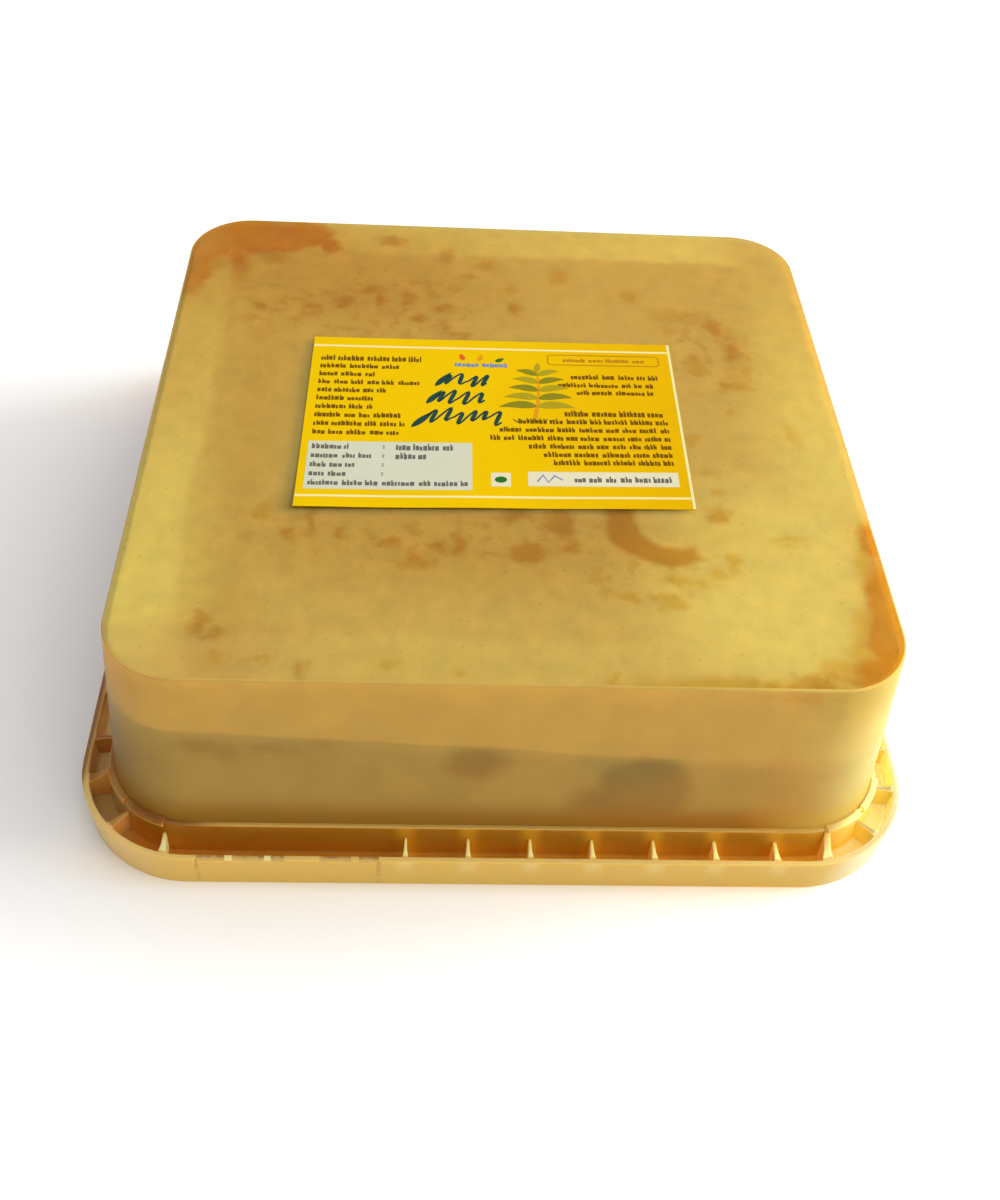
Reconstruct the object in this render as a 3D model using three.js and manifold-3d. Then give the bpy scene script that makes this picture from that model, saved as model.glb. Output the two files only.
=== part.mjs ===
// A shut square food tub, stored upside down on its lid, part filled with set jaggery.
//
// Millimetres, +Z up. The origin is the centre of the lid's flat top, which is the face the
// turned-over tub rests on, so everything lies above z = 0. The tear strip is on the -Y side.
//
// Four pieces: the lid, the tub, the jaggery set in the bottom of the tub, and the label.

import * as THREE from 'three';
import { mergeVertices } from 'three/addons/utils/BufferGeometryUtils.js';
import Module from 'manifold-3d';

const wasm = await Module();
wasm.setup();

// ---- driving dimensions -------------------------------------------------------------------

const LID_SIDE = 165;            // across the skirt's free edge
const LID_CORNER = 23;           // corner radius there
const TUB_SIDE = 146.2;          // across the tub's base
const TUB_CORNER = 14;           // corner radius of the base
const TOTAL_HEIGHT = 50.6;       // lid's top to tub's base

const TUB_WALL = 1.1;
const BASE_THICK = 1.2;
const BASE_EDGE = 0.8;           // rounding where the base turns into the wall
const WALL_FLARE = 2.8;          // how far each wall leans out from the base to the ring
const CLEARANCE = 0.3;           // between pieces that touch in the real tub

const PLATE_THICK = 1.2;         // the lid's panel
const SKIRT_HEIGHT = 8.7;
const SKIRT_WALL = 1.3;
const SKIRT_DRAFT = 0.6;         // the skirt is narrower by this at its foot, on each side
const SKIRT_EDGE = 0.3;          // rounding of the skirt's foot
const CHANNEL_FLOOR = 3.8;       // between the ring and the skirt
const CHANNEL_THICK = 1.2;
const RING_HEIGHT = 11.6;
const RING_WALL = 0.9;

const RIB_PITCH = 12;
const RIBS_PER_HALF = 5;         // on each side of a wall's middle
const LAST_RIB = 64;             // the rib where the corner begins, from the middle
const RIB_THIN = 0.7;            // at the ring
const RIB_THICK = 1.5;           // at the skirt
const RIB_TOP = 8.6;

const LIP_RISE = 0.4;            // the lip round each of the ring's corners
const LIP_WALL = 0.6;
const LIP_DROP = 1.4;
const LIP_GAP = 1.4;             // its break at the corner's middle

const STRIP = { left: -57.5, right: -23 };      // tear strip in the front of the skirt
const STRIP_DROP = 0.8;          // its edge is lower than the skirt's
const STRIP_SCORE = 0.6;         // width and depth of the grooves at its ends
const STRIP_TABS = [[-52.2, -50.7], [-44.7, -43.4], [-40.9, -34.3], [-28.3, -26.8]];

const FILL_DEPTH = 14.2;         // jaggery, measured down from the inside of the base
const FILL_TILT = 0.048;         // it set on a slope: deeper towards +X
const FILL_TILT_FRONT = 0.031;   // and towards -Y
const FILL_WAVE = 0.5;           // unevenness of its free face

const LABEL = { width: 80, depth: 54.8, thick: 0.25, x: -1.4, y: -1.15, turn: 1.1 };

const ARC_STEPS = 10;            // facets in each rounded corner
const CUT = 1;                   // how far a cutting tool passes the face it cuts

// ---- dimensions that follow ---------------------------------------------------------------

const LID_HALF = LID_SIDE / 2;
const TUB_HALF = TUB_SIDE / 2;
const TUB_FOOT = PLATE_THICK + CLEARANCE;
const CHANNEL_INNER = LID_HALF - SKIRT_WALL;
const CHANNEL_CORNER = LID_CORNER - SKIRT_WALL;

// How far the tub's wall leans out at a height, from the base's outline.
function flareAt(z) {
  return WALL_FLARE * (TOTAL_HEIGHT - z) / (TOTAL_HEIGHT - RING_HEIGHT);
}

// The tub's outside at a height, moved outwards by offset.
function tubLevel(z, offset = 0) {
  const grown = flareAt(z) + offset;
  return { z, half: TUB_HALF + grown, radius: TUB_CORNER + grown };
}

// ---- geometry helpers ---------------------------------------------------------------------

// Points round a square with rounded corners, anticlockwise seen from above.
function roundedSquare(half, radius) {
  const reach = half - radius;
  const corners = [[1, 1], [-1, 1], [-1, -1], [1, -1]];
  return corners.flatMap(([sideX, sideY], quarter) => {
    return Array.from({ length: ARC_STEPS + 1 }, (_, step) => {
      const angle = (quarter + step / ARC_STEPS) * Math.PI / 2;
      return new THREE.Vector2(
        sideX * reach + radius * Math.cos(angle),
        sideY * reach + radius * Math.sin(angle),
      );
    });
  });
}

// A closed body through rounded squares stacked from the bottom up. A level's z is a number,
// or a function of x and y where the level isn't flat.
function loft(levels) {
  const rings = levels.map(({ z, half, radius }) => {
    return roundedSquare(half, radius).map(({ x, y }) => [x, y, typeof z === 'function' ? z(x, y) : z]);
  });
  const count = rings[0].length;
  const middle = (z) => [0, 0, typeof z === 'function' ? z(0, 0) : z];
  const points = [...rings.flat(), middle(levels[0].z), middle(levels.at(-1).z)];
  const bottom = points.length - 2;
  const top = points.length - 1;
  const faces = [];
  for (let i = 0; i < count; i += 1) {
    const next = (i + 1) % count;
    faces.push(bottom, next, i);
    for (let level = 1; level < rings.length; level += 1) {
      const low = (level - 1) * count;
      const high = level * count;
      faces.push(low + i, low + next, high + next, low + i, high + next, high + i);
    }
    faces.push(top, (rings.length - 1) * count + i, (rings.length - 1) * count + next);
  }
  const geometry = new THREE.BufferGeometry();
  geometry.setAttribute('position', new THREE.Float32BufferAttribute(points.flat(), 3));
  geometry.setIndex(faces);
  return geometry;
}

// A box given by its corners.
function block(low, high) {
  const size = high.map((value, axis) => value - low[axis]);
  const middle = high.map((value, axis) => (value + low[axis]) / 2);
  return new THREE.BoxGeometry(...size).translate(...middle);
}

// Turns a geometry into a solid that can be joined and cut.
function solid(geometry) {
  const bare = new THREE.BufferGeometry();
  bare.setAttribute('position', geometry.getAttribute('position').clone());
  bare.setIndex(geometry.index);
  const merged = mergeVertices(bare);
  return new wasm.Manifold(new wasm.Mesh({
    numProp: 3,
    vertProperties: new Float32Array(merged.getAttribute('position').array),
    triVerts: new Uint32Array(merged.index.array),
  }));
}

function join(solids) {
  return solids.reduce((whole, next) => whole.add(next));
}

function geometryOf(manifold) {
  const { vertProperties, triVerts } = manifold.getMesh();
  const geometry = new THREE.BufferGeometry();
  geometry.setAttribute('position', new THREE.BufferAttribute(vertProperties, 3));
  geometry.setIndex(new THREE.BufferAttribute(triVerts, 1));
  geometry.computeVertexNormals();
  return geometry;
}

function piece(name, geometry, look) {
  const mesh = new THREE.Mesh(geometry, new THREE.MeshStandardMaterial(look));
  mesh.name = name;
  return mesh;
}

// ---- tub ----------------------------------------------------------------------------------

// A thin shell with its mouth down. The base turns into the wall over a small round edge.
function tubGeometry() {
  const edge = [0, 1, 2, 3].map((step) => {
    const angle = step / 3 * Math.PI / 2;
    return tubLevel(
      TOTAL_HEIGHT - BASE_EDGE * (1 - Math.sin(angle)),
      -BASE_EDGE * (1 - Math.cos(angle)),
    );
  });
  const outside = loft([tubLevel(TUB_FOOT), ...edge]);
  const inside = loft([
    tubLevel(TUB_FOOT - CUT, -TUB_WALL),
    tubLevel(TOTAL_HEIGHT - BASE_THICK, -TUB_WALL),
  ]);
  return geometryOf(solid(outside).subtract(solid(inside)));
}

// ---- jaggery ------------------------------------------------------------------------------

// The height of the free face of the jaggery, which hangs under the tub's base.
function fillFace(x, y) {
  const wave = Math.sin(x / 17 + 0.6) * Math.cos(y / 23) + 0.5 * Math.sin((x - y) / 9);
  const tilt = -FILL_TILT * x + FILL_TILT_FRONT * y;
  return TOTAL_HEIGHT - BASE_THICK - FILL_DEPTH + tilt + FILL_WAVE * wave;
}

function jaggeryGeometry() {
  const inset = TUB_WALL + CLEARANCE;
  const ceiling = TOTAL_HEIGHT - BASE_THICK - CLEARANCE;
  const highest = ceiling - FILL_DEPTH + (FILL_TILT + FILL_TILT_FRONT) * TUB_HALF;
  const rim = tubLevel(highest, -inset);
  const face = [0.2, 0.4, 0.6, 0.8, 1].map((share) => {
    return { z: fillFace, half: rim.half * share, radius: rim.radius * share };
  });
  return loft([...face, tubLevel(ceiling, -inset)]);
}

// ---- lid ----------------------------------------------------------------------------------

// Where a rounded square's edge lies at a distance from the middle of its side.
function edgeAt(distance, half, radius) {
  const past = Math.max(0, distance - (half - radius));
  return half - radius + Math.sqrt(radius ** 2 - past ** 2);
}

// A fin across the channel: thin at the ring, thicker at the skirt. It lies along -Y.
function rib(across, from, to) {
  const outline = new THREE.Shape([
    new THREE.Vector2(across + RIB_THIN / 2, -from),
    new THREE.Vector2(across - RIB_THIN / 2, -from),
    new THREE.Vector2(across - RIB_THICK / 2, -to),
    new THREE.Vector2(across + RIB_THICK / 2, -to),
  ]);
  const foot = CHANNEL_FLOOR - CHANNEL_THICK / 2;
  const fin = new THREE.ExtrudeGeometry(outline, { depth: RIB_TOP - foot, bevelEnabled: false });
  return fin.translate(0, 0, foot);
}

// The ribs of one side and the corner to its right, for the side on -Y.
function ribsOfSide(isFront) {
  const ring = tubLevel(RIB_TOP, CLEARANCE + RING_WALL);
  const across = Array.from({ length: RIBS_PER_HALF }, (_, i) => (i + 0.5) * RIB_PITCH);
  const places = [...across, LAST_RIB].flatMap((x) => [-x, x]);
  const kept = places.filter((x) => !isFront || x < STRIP.left || x > STRIP.right);
  const bite = RING_WALL / 2;
  const ribs = kept.map((x) => rib(
    x,
    edgeAt(Math.abs(x), ring.half, ring.radius) - bite,
    edgeAt(Math.abs(x), CHANNEL_INNER, CHANNEL_CORNER) + bite,
  ));
  const diagonal = ({ half, radius }) => (half - radius) * Math.SQRT2 + radius;
  const cornerRib = rib(
    0,
    diagonal(ring) - bite,
    diagonal({ half: CHANNEL_INNER, radius: CHANNEL_CORNER }) + bite,
  );
  return [...ribs, cornerRib.rotateZ(Math.PI / 4)];
}

// The raised lip round one corner of the ring, in two halves with a break between them.
function cornerLip() {
  const low = RING_HEIGHT - LIP_DROP;
  const high = RING_HEIGHT + LIP_RISE;
  const outside = (z) => tubLevel(z, CLEARANCE + RING_WALL + LIP_WALL);
  const inside = (z) => tubLevel(z, CLEARANCE);
  const band = solid(loft([outside(low), outside(high)]))
    .subtract(solid(loft([inside(low - CUT), inside(high + CUT)])));
  const corner = solid(block([LAST_RIB, LAST_RIB, low - CUT], [LID_HALF, LID_HALF, high + CUT]));
  const slit = block([0, -LIP_GAP / 2, RING_HEIGHT], [LID_SIDE, LIP_GAP / 2, high + CUT]);
  return band.intersect(corner).subtract(solid(slit.rotateZ(Math.PI / 4)));
}

// What is cut from the skirt: the strip's edge lies lower except at its tabs, and a groove
// runs down the outside at each of its ends.
function stripCuts() {
  const bounds = [STRIP.left, ...STRIP_TABS.flat(), STRIP.right];
  const outer = -LID_HALF;
  const notches = [];
  for (let i = 0; i < bounds.length; i += 2) {
    notches.push(block(
      [bounds[i], outer - CUT, SKIRT_HEIGHT - STRIP_DROP],
      [bounds[i + 1], outer + SKIRT_WALL + CUT / 2, SKIRT_HEIGHT + CUT],
    ));
  }
  const scores = [STRIP.left, STRIP.right].map((x) => block(
    [x - STRIP_SCORE / 2, outer - CUT, -CUT],
    [x + STRIP_SCORE / 2, outer + STRIP_SCORE, SKIRT_HEIGHT + CUT],
  ));
  return join([...notches, ...scores].map(solid));
}

function lidGeometry() {
  const skirtLevel = (z, offset = 0) => {
    const grown = -SKIRT_DRAFT * (1 - z / SKIRT_HEIGHT) + offset;
    return { z, half: LID_HALF + grown, radius: LID_CORNER + grown };
  };
  const ringLevel = (z, offset = 0) => tubLevel(z, CLEARANCE + RING_WALL + offset);

  const body = solid(loft([
    skirtLevel(0, -SKIRT_EDGE),
    skirtLevel(SKIRT_EDGE),
    skirtLevel(SKIRT_HEIGHT),
  ]));
  const channel = solid(loft([
    { z: CHANNEL_FLOOR, half: CHANNEL_INNER, radius: CHANNEL_CORNER },
    { z: SKIRT_HEIGHT + CUT, half: CHANNEL_INNER, radius: CHANNEL_CORNER },
  ]));
  const ring = solid(loft([ringLevel(CHANNEL_FLOOR - CUT), ringLevel(RING_HEIGHT)]));
  const grooveTop = CHANNEL_FLOOR - CHANNEL_THICK;
  const groove = solid(loft([skirtLevel(-CUT, -SKIRT_WALL), skirtLevel(grooveTop, -SKIRT_WALL)]))
    .subtract(solid(loft([ringLevel(-CUT), ringLevel(grooveTop + CUT)])));
  const well = solid(loft([tubLevel(PLATE_THICK, CLEARANCE), tubLevel(RING_HEIGHT + CUT, CLEARANCE)]));

  const sides = [0, 1, 2, 3].map((quarter) => quarter * Math.PI / 2);
  const ribs = sides.flatMap((angle) => {
    return ribsOfSide(angle === 0).map((fin) => solid(fin.rotateZ(angle)));
  });
  const lips = sides.map((angle) => cornerLip().rotate([0, 0, THREE.MathUtils.radToDeg(angle)]));

  const moulding = body.subtract(channel).add(ring).subtract(groove).add(join([...ribs, ...lips]));
  return geometryOf(moulding.subtract(well).subtract(stripCuts()));
}

// ---- the whole thing ----------------------------------------------------------------------

const lid = piece('lid', lidGeometry(), { color: 0xd6a24e, roughness: 0.45, metalness: 0 });
const tub = piece('tub', tubGeometry(), { color: 0xc89a4a, roughness: 0.5, metalness: 0 });
const jaggery = piece('jaggery', jaggeryGeometry(), { color: 0xa9713a, roughness: 0.7, metalness: 0 });

const labelSheet = new THREE.BoxGeometry(LABEL.width, LABEL.depth, LABEL.thick);
const label = piece('label', labelSheet, { color: 0xffd400, roughness: 0.55, metalness: 0 });
label.position.set(LABEL.x, LABEL.y, TOTAL_HEIGHT + CLEARANCE / 3 + LABEL.thick / 2);
label.rotation.z = THREE.MathUtils.degToRad(LABEL.turn);

const shutTub = new THREE.Group();
shutTub.add(lid, tub, jaggery, label);

export default shutTub;
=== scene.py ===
"""A shut square tub of palm jaggery, stored upside down on its ribbed lid."""

import math
import random

import bmesh
import bpy
from bpy.props import FloatProperty, FloatVectorProperty, IntProperty
from mathutils import Matrix, Vector, noise


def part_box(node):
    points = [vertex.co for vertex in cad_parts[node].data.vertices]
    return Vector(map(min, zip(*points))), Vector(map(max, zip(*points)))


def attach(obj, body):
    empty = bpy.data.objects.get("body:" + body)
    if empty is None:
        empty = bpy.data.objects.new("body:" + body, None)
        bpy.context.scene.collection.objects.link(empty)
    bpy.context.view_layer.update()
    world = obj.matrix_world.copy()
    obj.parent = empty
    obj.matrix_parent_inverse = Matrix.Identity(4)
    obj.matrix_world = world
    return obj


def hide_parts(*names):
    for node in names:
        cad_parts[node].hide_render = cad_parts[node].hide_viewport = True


bl_info = {
    "name": "Tub of jaggery",
    "version": (1, 0, 0),
    "blender": (4, 5, 0),
    "location": "View3D > Sidebar > Tub",
    "description": "Builds a shut square tub of jaggery, upside down on its lid",
    "category": "Add Mesh",
}

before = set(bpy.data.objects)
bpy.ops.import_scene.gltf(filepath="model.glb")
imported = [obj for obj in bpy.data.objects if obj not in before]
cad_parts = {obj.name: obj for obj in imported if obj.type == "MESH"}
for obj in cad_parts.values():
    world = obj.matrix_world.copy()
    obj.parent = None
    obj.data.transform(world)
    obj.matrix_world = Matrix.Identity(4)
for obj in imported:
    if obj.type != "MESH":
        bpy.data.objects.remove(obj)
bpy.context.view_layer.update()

TUB_LOW, TUB_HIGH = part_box("tub")
LABEL_LOW, LABEL_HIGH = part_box("label")

MM = 0.001
LID_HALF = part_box("lid")[1].x
TOP = TUB_HIGH.z


# ---- sizes and colours that a user may change ----------------------------------------------

def length(name, description, default):
    """A size in metres, shown with its unit."""
    return FloatProperty(name=name, description=description, default=default, unit="LENGTH", precision=5)


def ratio(name, description, default):
    """A plain number, such as a slope."""
    return FloatProperty(name=name, description=description, default=default)


def colour(name, description, default):
    """A colour without alpha."""
    return FloatVectorProperty(
        name=name, description=description, default=default, subtype="COLOR", size=3, min=0, max=1
    )


class TubSizes(bpy.types.PropertyGroup):
    """Sizes of the tub's shell"""

    base_half: length("Half base", "From the middle of the base to its edge", 73.1 * MM)
    base_corner: length("Base corner", "Corner radius of the base", 14 * MM)
    flare: length("Flare", "How far a wall leans out from the base to the lid's ring", 2.8 * MM)
    wall: length("Wall", "Thickness of the walls", 1.1 * MM)
    base_thick: length("Base", "Thickness of the base", 1.2 * MM)
    edge: length("Edge", "Rounding between the base and the walls", 0.4 * MM)
    sag: length("Sag", "How far the middle of the base sinks", 0.25 * MM)


class FillSizes(bpy.types.PropertyGroup):
    """Sizes of the jaggery inside"""

    depth: length("Depth", "From the base to the level in the middle", 14.2 * MM)
    slope: ratio("Slope", "How much deeper it is to the right", 0.048)
    slope_front: ratio("Front slope", "How much deeper it is to the front", 0.031)
    wave: length("Wave", "Unevenness of the level", 0.5 * MM)
    bite: length("Bite", "How far it reaches into the plastic", 0.1 * MM)


class LidSizes(bpy.types.PropertyGroup):
    """Sizes of the lid's moulding"""

    corner: length("Corner", "Corner radius of the skirt", 23 * MM)
    panel: length("Panel", "Thickness of the panel", 1.2 * MM)
    ring_height: length("Ring height", "Top of the ring that grips the tub", 11.6 * MM)
    ring_wall: length("Ring wall", "Thickness of the ring", 1.05 * MM)
    grip: length("Grip", "How far the ring presses into the tub's wall", 0.2 * MM)
    channel_floor: length("Channel floor", "Height of the floor between ring and skirt", 3.8 * MM)
    channel_thick: length("Channel thickness", "Thickness of that floor", 1.2 * MM)
    skirt_height: length("Skirt height", "Free edge of the skirt", 8.7 * MM)
    skirt_wall: length("Skirt wall", "Thickness of the skirt", 1.3 * MM)
    skirt_draft: length("Skirt draft", "How much narrower the skirt is at its foot", 0.6 * MM)
    rib_pitch: length("Rib pitch", "From one rib to the next", 12 * MM)
    ribs_per_half: IntProperty(name="Ribs", description="Ribs on each side of a wall's middle", default=5)
    last_rib: length("Last rib", "From the middle of a wall to the rib at its corner", 64 * MM)
    rib_top: length("Rib top", "Height of the ribs", 8.55 * MM)
    lip_rise: length("Lip rise", "How far the corner lips stand over the ring", 0.4 * MM)
    lip_wall: length("Lip wall", "How far the corner lips stand out from the ring", 0.6 * MM)
    lip_drop: length("Lip drop", "Height of the corner lips under the ring's edge", 1.4 * MM)
    lip_gap: length("Lip gap", "Break in each lip at the corner's middle", 1.4 * MM)
    strip_left: length("Strip left", "Left end of the tear strip", -57.5 * MM)
    strip_right: length("Strip right", "Right end of the tear strip", -23 * MM)
    strip_drop: length("Strip drop", "How far the strip's edge lies under the skirt's", 0.35 * MM)


class LabelSizes(bpy.types.PropertyGroup):
    """Sizes of the label"""

    width: length("Width", "Along the front", 80 * MM)
    depth: length("Depth", "Front to back", 54.8 * MM)
    thick: length("Thickness", "Of the sheet", 0.14 * MM)
    curl: length("Curl", "How far its front left corner lifts", 0.35 * MM)
    turn: FloatProperty(
        name="Turn", description="How far it is stuck on askew", default=math.radians(1.1), subtype="ANGLE"
    )
    lean: ratio("Lean", "How far it is pulled out of square", 0.028)
    taper: ratio("Taper", "How much deeper it is at its left end", 0.012)


class Colours(bpy.types.PropertyGroup):
    """Colours of the plastic, the contents and the print, and painted light and shade on them"""

    plastic: colour("Plastic", "Cloudy plastic of the tub", (0.75, 0.53, 0.122))
    # painted shade: dim is the wall darkened down by the lid's ring
    dim: colour("Dim plastic", "Tub's wall down by the lid's ring", (0.55, 0.30, 0.040))
    # lid, dull and bright are lit and shaded copies of the lid's plastic: painted light and shade
    lid: colour("Lid", "Faces of the lid that catch the light", (0.72, 0.46, 0.08))
    dull: colour("Dull", "Faces of the lid on the side away from the light", (0.50, 0.30, 0.09))
    bright: colour("Bright", "Edges and faces of the plastic that glow towards the light", (0.92, 0.81, 0.35))
    middle: colour("Middle", "Jaggery that lies close to the base", (0.455, 0.378, 0.100))
    # painted light: the paler margin stands for light that comes in through the side walls
    margin: colour("Margin", "Dry jaggery round the edge, seen through the base", (0.56, 0.54, 0.160))
    pale: colour("Pale", "Where least of it touches the base", (0.58, 0.565, 0.155))
    brown: colour("Brown shade", "Darkens the base where the block is densest", (0.885, 0.78, 0.62))
    rear: colour("Rear shade", "Browns the base towards the back", (1.0, 0.90, 0.68))
    moist: colour("Moist shade", "Darkens the base where jaggery almost wets it", (0.73, 0.49, 0.15))
    golden: colour("Golden shade", "Tints the base where jaggery is a little damp", (0.83, 0.63, 0.16))
    wet: colour("Wet shade", "Darkens the base where jaggery wets it", (0.80, 0.40, 0.008))
    jaggery: colour("Jaggery", "The set block itself", (0.80, 0.53, 0.19))
    lump: colour("Lump", "Dark lumps under the block", (0.10, 0.07, 0.025))
    label: colour("Label", "Printed ground", (0.665, 0.425, 0.0003))


SETTINGS = {
    "tub_sizes": TubSizes,
    "fill_sizes": FillSizes,
    "lid_sizes": LidSizes,
    "label_sizes": LabelSizes,
    "tub_colours": Colours,
}


# ---- mesh helpers --------------------------------------------------------------------------

CORNER_STEPS = 24
SIDE_STEPS = 12
SHARP_ANGLE = math.radians(40)
QUARTER = math.pi / 2


def rounded_square(half, radius):
    """Points round a square with rounded corners, anticlockwise seen from above."""
    reach = half - radius
    points = []
    for quarter, (side_x, side_y) in enumerate([(1, 1), (-1, 1), (-1, -1), (1, -1)]):
        for step in range(CORNER_STEPS + 1):
            angle = (quarter + step / CORNER_STEPS) * QUARTER
            x, y = side_x * reach + radius * math.cos(angle), side_y * reach + radius * math.sin(angle)
            points.append((x, y))
        along = (quarter + 1) * QUARTER
        for step in range(1, SIDE_STEPS):
            run = 2 * reach * step / SIDE_STEPS
            points.append((x - run * math.sin(along), y + run * math.cos(along)))
    return points


def new_piece(name, shape):
    """Puts a shape into the scene as an object of its own, and frees it."""
    mesh = bpy.data.meshes.new(name)
    shape.to_mesh(mesh)
    shape.free()
    piece = bpy.data.objects.new(name, mesh)
    bpy.context.scene.collection.objects.link(piece)
    return piece


def skin(shape, rings, closed=False):
    """Faces through rings of points: capped at both ends, or joined end to start."""
    pairs = list(zip(rings, rings[1:]))
    if closed:
        pairs.append((rings[-1], rings[0]))
    faces = []
    for low, high in pairs:
        for i in range(len(low)):
            j = (i + 1) % len(low)
            faces.append(shape.faces.new((low[i], low[j], high[j], high[i])))
    if not closed:
        faces.append(shape.faces.new(rings[0][::-1]))
        faces.append(shape.faces.new(rings[-1]))
    return faces


def solid(name, rings):
    """A closed mesh through rings of points."""
    shape = bmesh.new()
    skin(shape, [[shape.verts.new(point) for point in ring] for ring in rings])
    bmesh.ops.recalc_face_normals(shape, faces=shape.faces)
    return new_piece(name, shape)


def loft(name, levels):
    """A solid through rounded squares, each given as for level_ring()."""
    return solid(name, [level_ring(*level) for level in levels])


def level_ring(half, radius, z):
    """Points round a rounded square at a height, which may be a function of x and y."""
    return [(x, y, z(x, y) if callable(z) else z) for x, y in rounded_square(half, radius)]


def block(name, low, high):
    """A box between two corners."""
    square = [(low[0], low[1]), (high[0], low[1]), (high[0], high[1]), (low[0], high[1])]
    return solid(name, [[(x, y, z) for x, y in square] for z in (low[2], high[2])])


def carve(piece, tools, operation):
    """Joins closed tools to a piece (UNION), or cuts with them (DIFFERENCE), and removes them."""
    folder = bpy.data.collections.new("tools")
    bpy.context.scene.collection.children.link(folder)
    for tool in tools:
        folder.objects.link(tool)
    step = piece.modifiers.new("carve", "BOOLEAN")
    step.operation = operation
    step.operand_type = "COLLECTION"
    step.collection = folder
    step.solver = "MANIFOLD"
    result = piece.evaluated_get(bpy.context.evaluated_depsgraph_get())
    mesh = bpy.data.meshes.new_from_object(result)
    piece.modifiers.clear()
    piece.data = mesh
    for tool in tools:
        bpy.data.objects.remove(tool)
    bpy.data.collections.remove(folder)


def turned(piece, angle):
    """Turns a piece's own points about the tub's upright axis."""
    piece.data.transform(Matrix.Rotation(angle, 4, "Z"))
    return piece


def smooth(piece):
    """Smooth shading that keeps sharp corners, with the wide faces staying flat."""
    mesh = piece.data
    mesh.polygons.foreach_set("use_smooth", [True] * len(mesh.polygons))
    mesh.set_sharp_from_angle(angle=SHARP_ANGLE)
    weigh = piece.modifiers.new("flat faces stay flat", "WEIGHTED_NORMAL")
    weigh.keep_sharp = True
    weigh.weight = 80


def place(piece, materials, slot, *nodes):
    """Gives a piece its materials and its body, and hides the CAD nodes it stands for."""
    if len(materials) == 1:
        piece.data.materials.clear()
    for material in materials:
        piece.data.materials.append(material)
    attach(piece, "root")
    if nodes:
        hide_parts(*nodes)


# ---- shader helpers ------------------------------------------------------------------------

class Value:
    """A number, place or colour that changes over a surface. Arithmetic with it adds Math nodes."""

    def __init__(self, socket):
        self.socket = socket

    def __add__(self, other):
        return maths("ADD", self, other)

    def __sub__(self, other):
        return maths("SUBTRACT", self, other)

    def __rsub__(self, other):
        return maths("SUBTRACT", other, self)

    def __mul__(self, other):
        return maths("MULTIPLY", self, other)

    def __truediv__(self, other):
        return maths("DIVIDE", self, other)

    def __gt__(self, other):
        return maths("GREATER_THAN", self, other)

    def __lt__(self, other):
        return maths("LESS_THAN", self, other)

    def __abs__(self):
        return maths("ABSOLUTE", self)

    def times(self, factor, plus):
        """The value multiplied by a factor, and something added."""
        return maths("MULTIPLY_ADD", self, factor, plus)


def connect(socket, value):
    """Gives a socket a Value, another node's output or a plain number, place or colour."""
    if isinstance(value, Value):
        value = value.socket
    if isinstance(value, bpy.types.NodeSocket):
        socket.id_data.links.new(value, socket)
    elif socket.type == "RGBA":
        socket.default_value = (*value, 1)
    else:
        socket.default_value = value


def add(tree, kind, inputs=None, **settings):
    """Adds a shader node, with what its sockets are given."""
    node = tree.nodes.new("ShaderNode" + kind)
    for name, value in settings.items():
        setattr(node, name, value)
    for key, value in (inputs or {}).items():
        connect(node.inputs[key], value)
    return node


def derive(kind, inputs, output=0, **settings):
    """What a node makes of its inputs, in the tree of the first Value among them."""
    given = next(value for value in inputs.values() if isinstance(value, Value))
    return Value(add(given.socket.id_data, kind, inputs, **settings).outputs[output])


def maths(operation, *values):
    """What a Math node makes of numbers."""
    return derive("Math", dict(enumerate(values)), operation=operation)


def vector_maths(operation, *values, output="Vector"):
    """What a Vector Math node makes of places."""
    return derive("VectorMath", dict(enumerate(values)), output, operation=operation)


def magnitude(place_at):
    """How far a place lies from the middle."""
    return vector_maths("LENGTH", place_at, output="Value")


def larger(first, second):
    """The larger of two values."""
    return maths("MAXIMUM", first, second)


def smaller(first, second):
    """The smaller of two values."""
    return maths("MINIMUM", first, second)


def split(place_at):
    """The three parts of a place."""
    return [Value(part) for part in add(place_at.socket.id_data, "SeparateXYZ", {0: place_at}).outputs]


def fade(value, start, end, low=0.0, high=1.0):
    """Turns a value into a soft step: low up to start, high from end on."""
    inputs = {"Value": value, "From Min": start, "From Max": end, "To Min": low, "To Max": high}
    return derive("MapRange", inputs, "Result", interpolation_type="SMOOTHSTEP")


def fade_mm(value, start, end, low=0.0, high=1.0):
    """A soft step along a length, with its start and end in millimetres."""
    return fade(value, start * MM, end * MM, low, high)


def tint(factor, first, second, blend_type="MIX"):
    """Blends two colours, as far as the factor says."""
    return derive("Mix", {0: factor, 6: first, 7: second}, 2, data_type="RGBA", blend_type=blend_type)


def shade(factor, base, value):
    """Multiplies a colour by another, as far as the factor says."""
    return tint(factor, base, value, "MULTIPLY")


def scaled(value, factor):
    """A colour made lighter or darker."""
    return tuple(part * factor for part in value)


def clouds(place_at, size, detail=3.0, roughness=0.55, output="Fac", dimensions="3D"):
    """Noise with features of about the given size, in millimetres."""
    inputs = {"Vector": place_at, "Scale": 1 / (size * MM), "Detail": detail, "Roughness": roughness}
    return derive("TexNoise", inputs, output, noise_dimensions=dimensions)


def flat_clouds(place_at, size, detail=3.0, roughness=0.55, output="Fac"):
    """Noise over a level face."""
    return clouds(place_at, size, detail, roughness, output, "2D")


def here(tree):
    """Where a point of the surface is, in metres from the middle of the lid's flat face."""
    return Value(add(tree, "TexCoord").outputs["Object"])


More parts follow.
